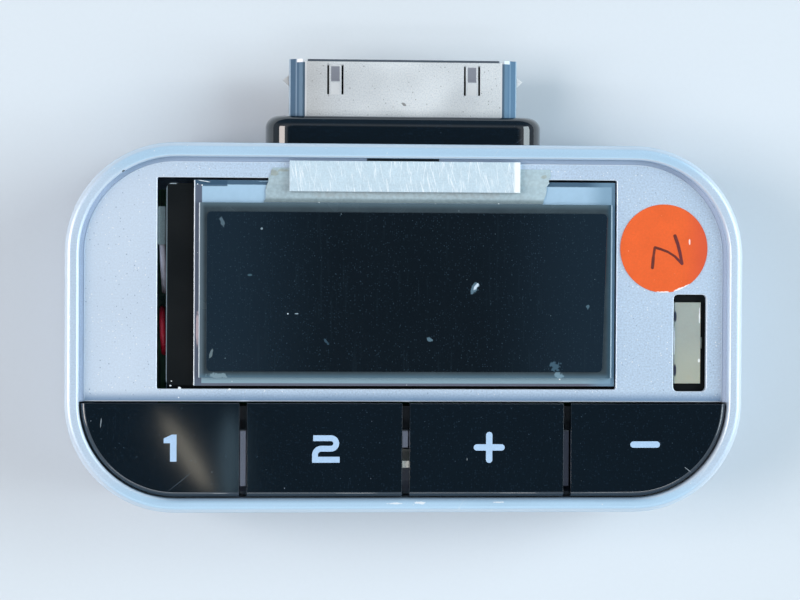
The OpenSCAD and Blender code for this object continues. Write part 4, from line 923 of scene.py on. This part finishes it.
# %% Stiff strip
STRIP_SHIFT = Vector((0, 0.16))
FIBRES = ((-0.12, 0.14, 0.55, 0.54), (0.1, 0.18, 0.6, 0.42), (-0.3, 0.2, 0.6, 0.48), (-0.2, 0.11, 0.6, 0.36))
strip_low, strip_high = corners("tape_strip")
white_strip = Finish("strip_white", (190, 209, 220), 0.42, grain=(0.16, 0.16), blotch=(0.7, 0.1), bump=0.3)
for by, spacing, share, strength in FIBRES:
    white_strip.scratches((250, 253, 255), by, spacing, share, strength)
white_strip.band(white_strip.axis("X"), strip_high.x - 0.55, strip_high.x + 1, (244, 249, 248), 0.9, 0.12)
bar("strip", white_strip, strip_low.xy + STRIP_SHIFT, strip_high.xy + STRIP_SHIFT, strip_low.z, strip_high.z,
    (0.04, 2), (0.05, 2), ["tape_strip"])

# %% [markdown]
# ## Sticker
# A round paper sticker with a pen mark. Paper has fibres: a soft blotchy noise on a matt orange. Its
# lower edge has lifted and shows the white core of the paper.

# %% Sticker
dot_low, dot_high = corners("marking_dot")
dot = (dot_low + dot_high) / 2
orange = Finish("dot_orange", (229, 92, 26), 0.55, grain=(0.16, 0.1), blotch=(1.6, 0.08), bump=0.3)
orange.specks((248, 170, 136), 0.6, 0.05, 0.35, 0.5)
orange.fade(orange.axis("X"), dot.x + 1.5, dot_high.x, (212, 76, 40), 0.75)
# Painted highlight: a small white fleck on the paper.
orange.mark((250, 232, 226), (dot.x + 2.37, dot.y + 0.63), (0.09, 0.3), ragged=0.3, strength=0.8)
LIFTED = (((1.5, -3.72), (0.9, 0.13), -0.4), ((-0.1, -4.0), (0.8, 0.09), 0.0),
          ((2.2, -3.4), (0.35, 0.12), -0.6))
for at, size, by in LIFTED:
    orange.mark((248, 246, 244), (dot.x + at[0], dot.y + at[1]), size, by, 0.8, 0.95)
sticker = bmesh.new()
bmesh.ops.create_circle(sticker, cap_ends=True, radius=(dot_high.x - dot_low.x) / 2, segments=96)
bmesh.ops.translate(sticker, vec=(dot.x, dot.y, dot_low.z), verts=sticker.verts)
raise_up(sticker, dot_high.z - dot_low.z)
soften(sticker, 0.03, 2, at_height(dot_high.z))
finish(sticker, "sticker", orange, nodes=["marking_dot"])

# %% [markdown]
# The pen mark was drawn in a few quick strokes. Each short piece of it is a narrow sheet with round ends,
# turned into its direction. The pieces lie a hair's breadth above one another, because surfaces at one
# height flicker where they cross.

# %% Pen strokes
ink = Finish("ink_brown", (100, 32, 18), 0.5, grain=(0.12, 0.5), blotch=(0.4, 0.4))
ink.fade(ink.axis("X"), dot.x + 0.95, dot.x + 1.3, (104, 34, 44), 0.7)
PEN_POINTS = ((-1.06, -1.78), (-0.98, -0.8), (-0.85, 0.1), (-0.31, -0.05), (0.38, -0.31), (1.0, -0.7),
              (1.69, -1.4), (1.5, -0.44), (1.29, 0.38), (1.0, 1.2))
PEN_WIDTHS = (0.28, 0.22, 0.24, 0.22, 0.2, 0.22, 0.27, 0.29, 0.3)
STROKE_LIFT = 0.001
strokes = bmesh.new()
for number, width in enumerate(PEN_WIDTHS):
    start, end = Vector(PEN_POINTS[number]), Vector(PEN_POINTS[number + 1])
    along, middle = end - start, (start + end) / 2 + dot.xy
    half = Vector((along.length / 2 + width * 0.4, width / 2))
    sheet(strokes, middle - half, middle + half, dot_high.z + STROKE_LIFT * number, width * 0.49, 4,
          math.atan2(along.y, along.x))
raise_up(strokes, 0.015)
finish(strokes, "pen_strokes", ink, nodes=["marking_digit"])

# %% [markdown]
# ## Light slot
# A cream block carries the light from a lamp on the board up to the slot. It is cloudy, so some light goes
# into it and comes out elsewhere, which is what subsurface scattering does. Its left side is painted dark as
# painted shade at two notches, and both sides have a few small painted highlights.

# %% Light pipe
cream = Finish("pipe_cream", (155, 163, 157), 0.4, grain=(0.25, 0.05), blotch=(2.0, 0.08), bump=0.1)
pipe_low, pipe_high = corners("status_light_pipe")
cream.fade(cream.axis("Y"), pipe_high.y - 2, pipe_low.y, (174, 175, 152), 0.5)
cream.specks((150, 142, 110), 1.0, 0.05, 0.15, 0.5)
# Painted shade at the two notches of the left side.
for at, size in (((24.86, 1.15), (0.17, 0.62)), ((24.86, -3.8), (0.17, 0.7))):
    cream.mark((40, 46, 66), at, size, ragged=0.15)
# Painted highlights: small bright spots along both sides.
for at, size in (((27.12, 1.2), (0.07, 0.9)), ((27.1, -2.9), (0.12, 0.22)), ((24.8, -1.2), (0.06, 1.6))):
    cream.mark((238, 243, 246), at, size, ragged=0.5, strength=0.8)
cream.set(subsurface_weight=0.15, subsurface_scale=0.0005)
dress(cream, "status_light_pipe")

# %% [markdown]
# ## Plug
# The plug's shell is folded from satin stainless sheet. Damp has left a few rust specks. The sloping sides
# are painted darker as painted shade, the right one less dark than the left, with lighter stripes of painted
# reflection, and the folds carry a white painted highlight between the flat face and the sloping sides. Two
# spring tongues are cut out of the face. The end of each bends inwards and is painted darker as painted
# shade, and the part below it carries a painted highlight. The tip of the sheet is painted darker as painted
# shade, with painted highlights on its corners. Steel is a metal shader: its colour is the colour of its
# reflection.

# %% Steel
steel = Finish("plug_steel", (247, 250, 252), 0.5, 1.0, grain=(0.13, 0.26), blotch=(7, 0.02), bump=0.2)
x, side, y = steel.axis("X"), steel.axis("X", absolute=True), steel.axis("Y")
plug_high = corners("dock_shell")[1]
steel.specks((158, 158, 156), 0.34, 0.06, 0.5, 0.6)
steel.specks((96, 88, 80), 1.3, 0.08, 0.3, 0.4)
steel.fade(x, -5.0, -9.0, (186, 178, 170), 0.35)
steel.mark((100, 94, 88), (0.1, 20.6), (0.3, 0.16), 0.5, 1.0, 0.7)
SIDE_START, SIDE_END = 9.12, 10.6
# Painted shade and painted reflection: the sloping sides are painted darker, the right one less dark, with
# lighter stripes, and a white painted highlight runs along each fold.
steel.band(side, SIDE_START, SIDE_END, (74, 98, 120), soft=0.02)
steel.band(x, SIDE_START, SIDE_END, (96, 124, 148), soft=0.02)
steel.band(side, 9.2, 9.7, (108, 132, 152), 0.6, 0.05)
steel.band(side, 9.9, 10.0, (140, 162, 182), 0.6, 0.05)
steel.band(side, 10.48, 10.62, (170, 190, 206), 0.8, 0.03)
steel.band(side, 9.02, 9.16, (254, 254, 255), soft=0.03)
PAST_TIP = 30.0
# Painted shade on the bent end of each tongue, and a painted highlight below it.
tongue = (side, 5.95, 6.75, 0.03)
steel.patch(tongue, (y, 22.7, 24.1, 0.06), (150, 152, 164), 0.9)
steel.patch(tongue, (y, 21.5, 22.55, 0.06), (255, 255, 255), 0.8)
# Painted shade on the tip of the sheet, and painted highlights on its corners.
steel.patch((y, plug_high.y - 0.22, PAST_TIP, 0.03), (side, -1.0, 9.0, 0.05), (58, 76, 94), 0.9)
steel.patch((y, plug_high.y - 0.3, PAST_TIP, 0.04), (side, 9.05, 9.9, 0.05), (250, 253, 255), 0.75)
dome_steel = Finish("dome_steel", (196, 198, 200), 0.3, 1.0, grain=(0.3, 0.04))
brass = Finish("contact_brass", (226, 186, 104), 0.25, 1.0, grain=(0.2, 0.05))
# Painted shade: the contacts are painted dark where they lie under the spring tongues.
brass.band(brass.axis("X", absolute=True), 5.2, 7.5, (30, 32, 38))
dress(steel, "dock_shell", "dock_latch_left", "dock_latch_right")
dress(brass, "dock_contacts")
dress(Finish("can_steel", (200, 202, 204), 0.4, 1.0, grain=(0.3, 0.06)), "shield_can", "crystal_can")
dress(Finish("screw_steel", (176, 178, 182), 0.35, 1.0, grain=(0.2, 0.1), blotch=(1, 0.1)), "case_screws")

# %% [markdown]
# Under each key lies a thin steel dome, which gives way with a click. Its solid can't change shape, so a
# merged copy of its mesh, with a mesh of its own, stands for it. The press takes nearly all of its height,
# because the pad above ends just over the board.

# %% Snap domes
for key in KEYS:
    node = f"snap_dome_{key}"
    low, high = corners(node)
    dome = bmesh.new()
    dome.from_mesh(solids[node].data)
    bmesh.ops.remove_doubles(dome, verts=dome.verts, dist=1e-7)
    bmesh.ops.scale(dome, vec=(1 / MM, 1 / MM, 1 / MM), verts=dome.verts)
    piece = finish(dome, f"dome_{key}", dome_steel, nodes=[node])
    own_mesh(piece)

# %% [markdown]
# The plug's front sheet ends in a narrow lip that is bent inwards, so it mirrors less light, and the steel
# finish also paints it darker as painted shade. It is a flat bar with a rounded upper edge, set just below
# the sheet.

# %% Plug lip
bar("plug_lip", steel, (-8.9, plug_high.y - 0.3), (8.9, plug_high.y - 0.01), plug_high.z - 0.4,
    plug_high.z - 0.08, (0.03, 2), (0.1, 3))

# %% [markdown]
# ## Inside
# Through the gaps one sees the key mat, the green board and two wires. Rubber is matt with a soft grain, and
# painted shade darkens the mat in the upper part of the gaps and towards the gap between the plus and minus
# keys.
# The board is green lacquer over copper tracks, which show as slightly lighter lines.

# %% Rubber and boards
rubber = Finish("keymat_rubber", (206, 214, 236), 0.7, grain=(0.15, 0.08), blotch=(2, 0.1), bump=0.4)
# Painted shade: the mat is painted darker towards the plus and minus keys, and in the upper part of the gaps.
rubber.fade(rubber.axis("X"), 8.0, 12.0, (66, 76, 98), 0.85)
rubber.fade(rubber.axis("Y"), -9.44, -9.38, (112, 120, 128), 0.95)
dress(rubber, "key_mat", *[f"key_{part}_{key}" for part in ("pad", "skirt") for key in KEYS])
lacquer = Finish("board_green", (30, 88, 60), 0.3, grain=(0.2, 0.06), blotch=(1.5, 0.15))
lacquer.scratches((82, 150, 92), 0.0, 1.2, 0.9, 0.7)
dress(lacquer, "main_board", "key_board")
chip_black = Finish("chip_black", (30, 31, 33), 0.5, grain=(0.1, 0.15), bump=0.4)
dress(chip_black, "transmitter_chip", "controller_chip", "inductors")
dress(Finish("part_brown", (150, 122, 92), 0.45, grain=(0.2, 0.1)), "passives")

# %% [markdown]
# In the gap between the two middle keys a small white block stands on the lamp and leads its light up.

# %% Light block
bar("light_block", lamp_white, (-0.3, -12.73), (0.34, -12.09), 10.4, 12.1, (0.05, 2), (0.06, 2))

# %% [markdown]
# Two wires stand up in the gap beside the display, each in a bow from one solder point on the board to
# the other. A bow is made by drawing a circle upwards, spinning it half round and drawing it down again.

# %% Wires
wire_red = Finish("wire_red", (226, 40, 62), 0.3, grain=(0.2, 0.06), blotch=(0.8, 0.12))
wire_white = Finish("wire_white", (240, 226, 232), 0.32, grain=(0.2, 0.05), blotch=(0.8, 0.2))
wire_white.specks((120, 60, 76), 0.5, 0.12, 0.3, 0.5)
THICK = 0.28
for node, used, slot, top in (("antenna_wire", wire_red, "wire_red", 10.3),
                              ("supply_wire", wire_white, "wire_white", 10.5)):
    low, high = corners(node)
    x, bow_radius = (low.x + high.x) / 2, (high.y - low.y) / 2 - THICK
    straight_part = top - THICK - low.z - bow_radius
    wire = bmesh.new()
    bmesh.ops.create_circle(wire, cap_ends=False, radius=THICK, segments=16)
    bmesh.ops.translate(wire, vec=(x, high.y - THICK, low.z), verts=wire.verts)
    end = draw_out(wire, wire.edges[:], (0, 0, straight_part))
    centre = (x, (low.y + high.y) / 2, low.z + straight_part)
    draw_out(wire, swing(wire, end, centre, (1, 0, 0), math.pi, 24), (0, 0, -straight_part))
    bmesh.ops.remove_doubles(wire, verts=wire.verts, dist=1e-4)
    bmesh.ops.rotate(wire, cent=centre, matrix=Matrix.Rotation(0.05, 3, "Z"), verts=wire.verts)
    bmesh.ops.recalc_face_normals(wire, faces=wire.faces[:])
    finish(wire, node.replace("_wire", "_lead"), used, nodes=[node], angle=60)

# %% [markdown]
# A grey foam pad behind the wires keeps dust off the board. It is a bar with soft edges, and a strong
# bump makes its open pores.

# %% Foam pad
foam_grey = Finish("foam_grey", (150, 164, 164), 0.8, grain=(0.12, 0.3), blotch=(0.7, 0.2), bump=0.5)
bar("foam_pad", foam_grey, (-22.6, 7.5), (-21.86, 11.0), 7.6, 10.6, (0.1, 3), (0.1, 2))

# %% [markdown]
# A black pad fills the narrow gap between the glass and the lower edge of the window: a dark sheet put there
# as painted shade.

# %% Shade pad below the window
bar("shade_pad_below_window", matt, (-21.8, -6.3), (19.6, -5.2), 8.6, 10.0, (0.1, 3), (0.1, 2))

# %% [markdown]
# ## Specks of glue
# White crumbs of old glue stick to the lower edge of the window and to the glass. A crumb is a small
# round form whose points are pushed in and out at random, pressed flat.

# %% Glue crumbs
glue = Finish("dried_glue", (236, 242, 246), 0.5, grain=(0.08, 0.1), bump=0.3)
CRUMBS = ((-20.56, -5.5, 12.0, 0.17), (-20.63, -6.34, 12.0, 0.07), (-16.03, -5.6, 12.0, 0.14),
          (-21.4, -5.3, 11.2, 0.1), (-21.3, -4.9, 11.2, 0.07), (14.1, -4.62, 12.3, 0.08),
          (-18.6, 12.9, 11.8, 0.08), (-19.0, 13.0, 11.8, 0.06), (-8.0, 11.4, 12.2, 0.06),
          (2.6, 11.35, 12.2, 0.06), (5.3, 11.3, 12.2, 0.07), (8.4, 11.4, 12.2, 0.06))
crumbs = bmesh.new()
for x, y, z, size in CRUMBS:
    made = bmesh.ops.create_icosphere(crumbs, subdivisions=2, radius=size)["verts"]
    for v in made:
        v.co *= chance.uniform(0.7, 1.1)
    bmesh.ops.scale(crumbs, vec=(1.0, 0.8, 0.45), verts=made)
    bmesh.ops.translate(crumbs, vec=(x, y, z), verts=made)
finish(crumbs, "glue_crumbs", glue, angle=60)

# %% [markdown]
# ## Close
# The solids that are still shown but have no finish are printed.

# %% Solids without a finish
undressed = [n for n, o in solids.items() if not o.data.materials and not o.hide_render]
print("solids without a finish:", undressed)
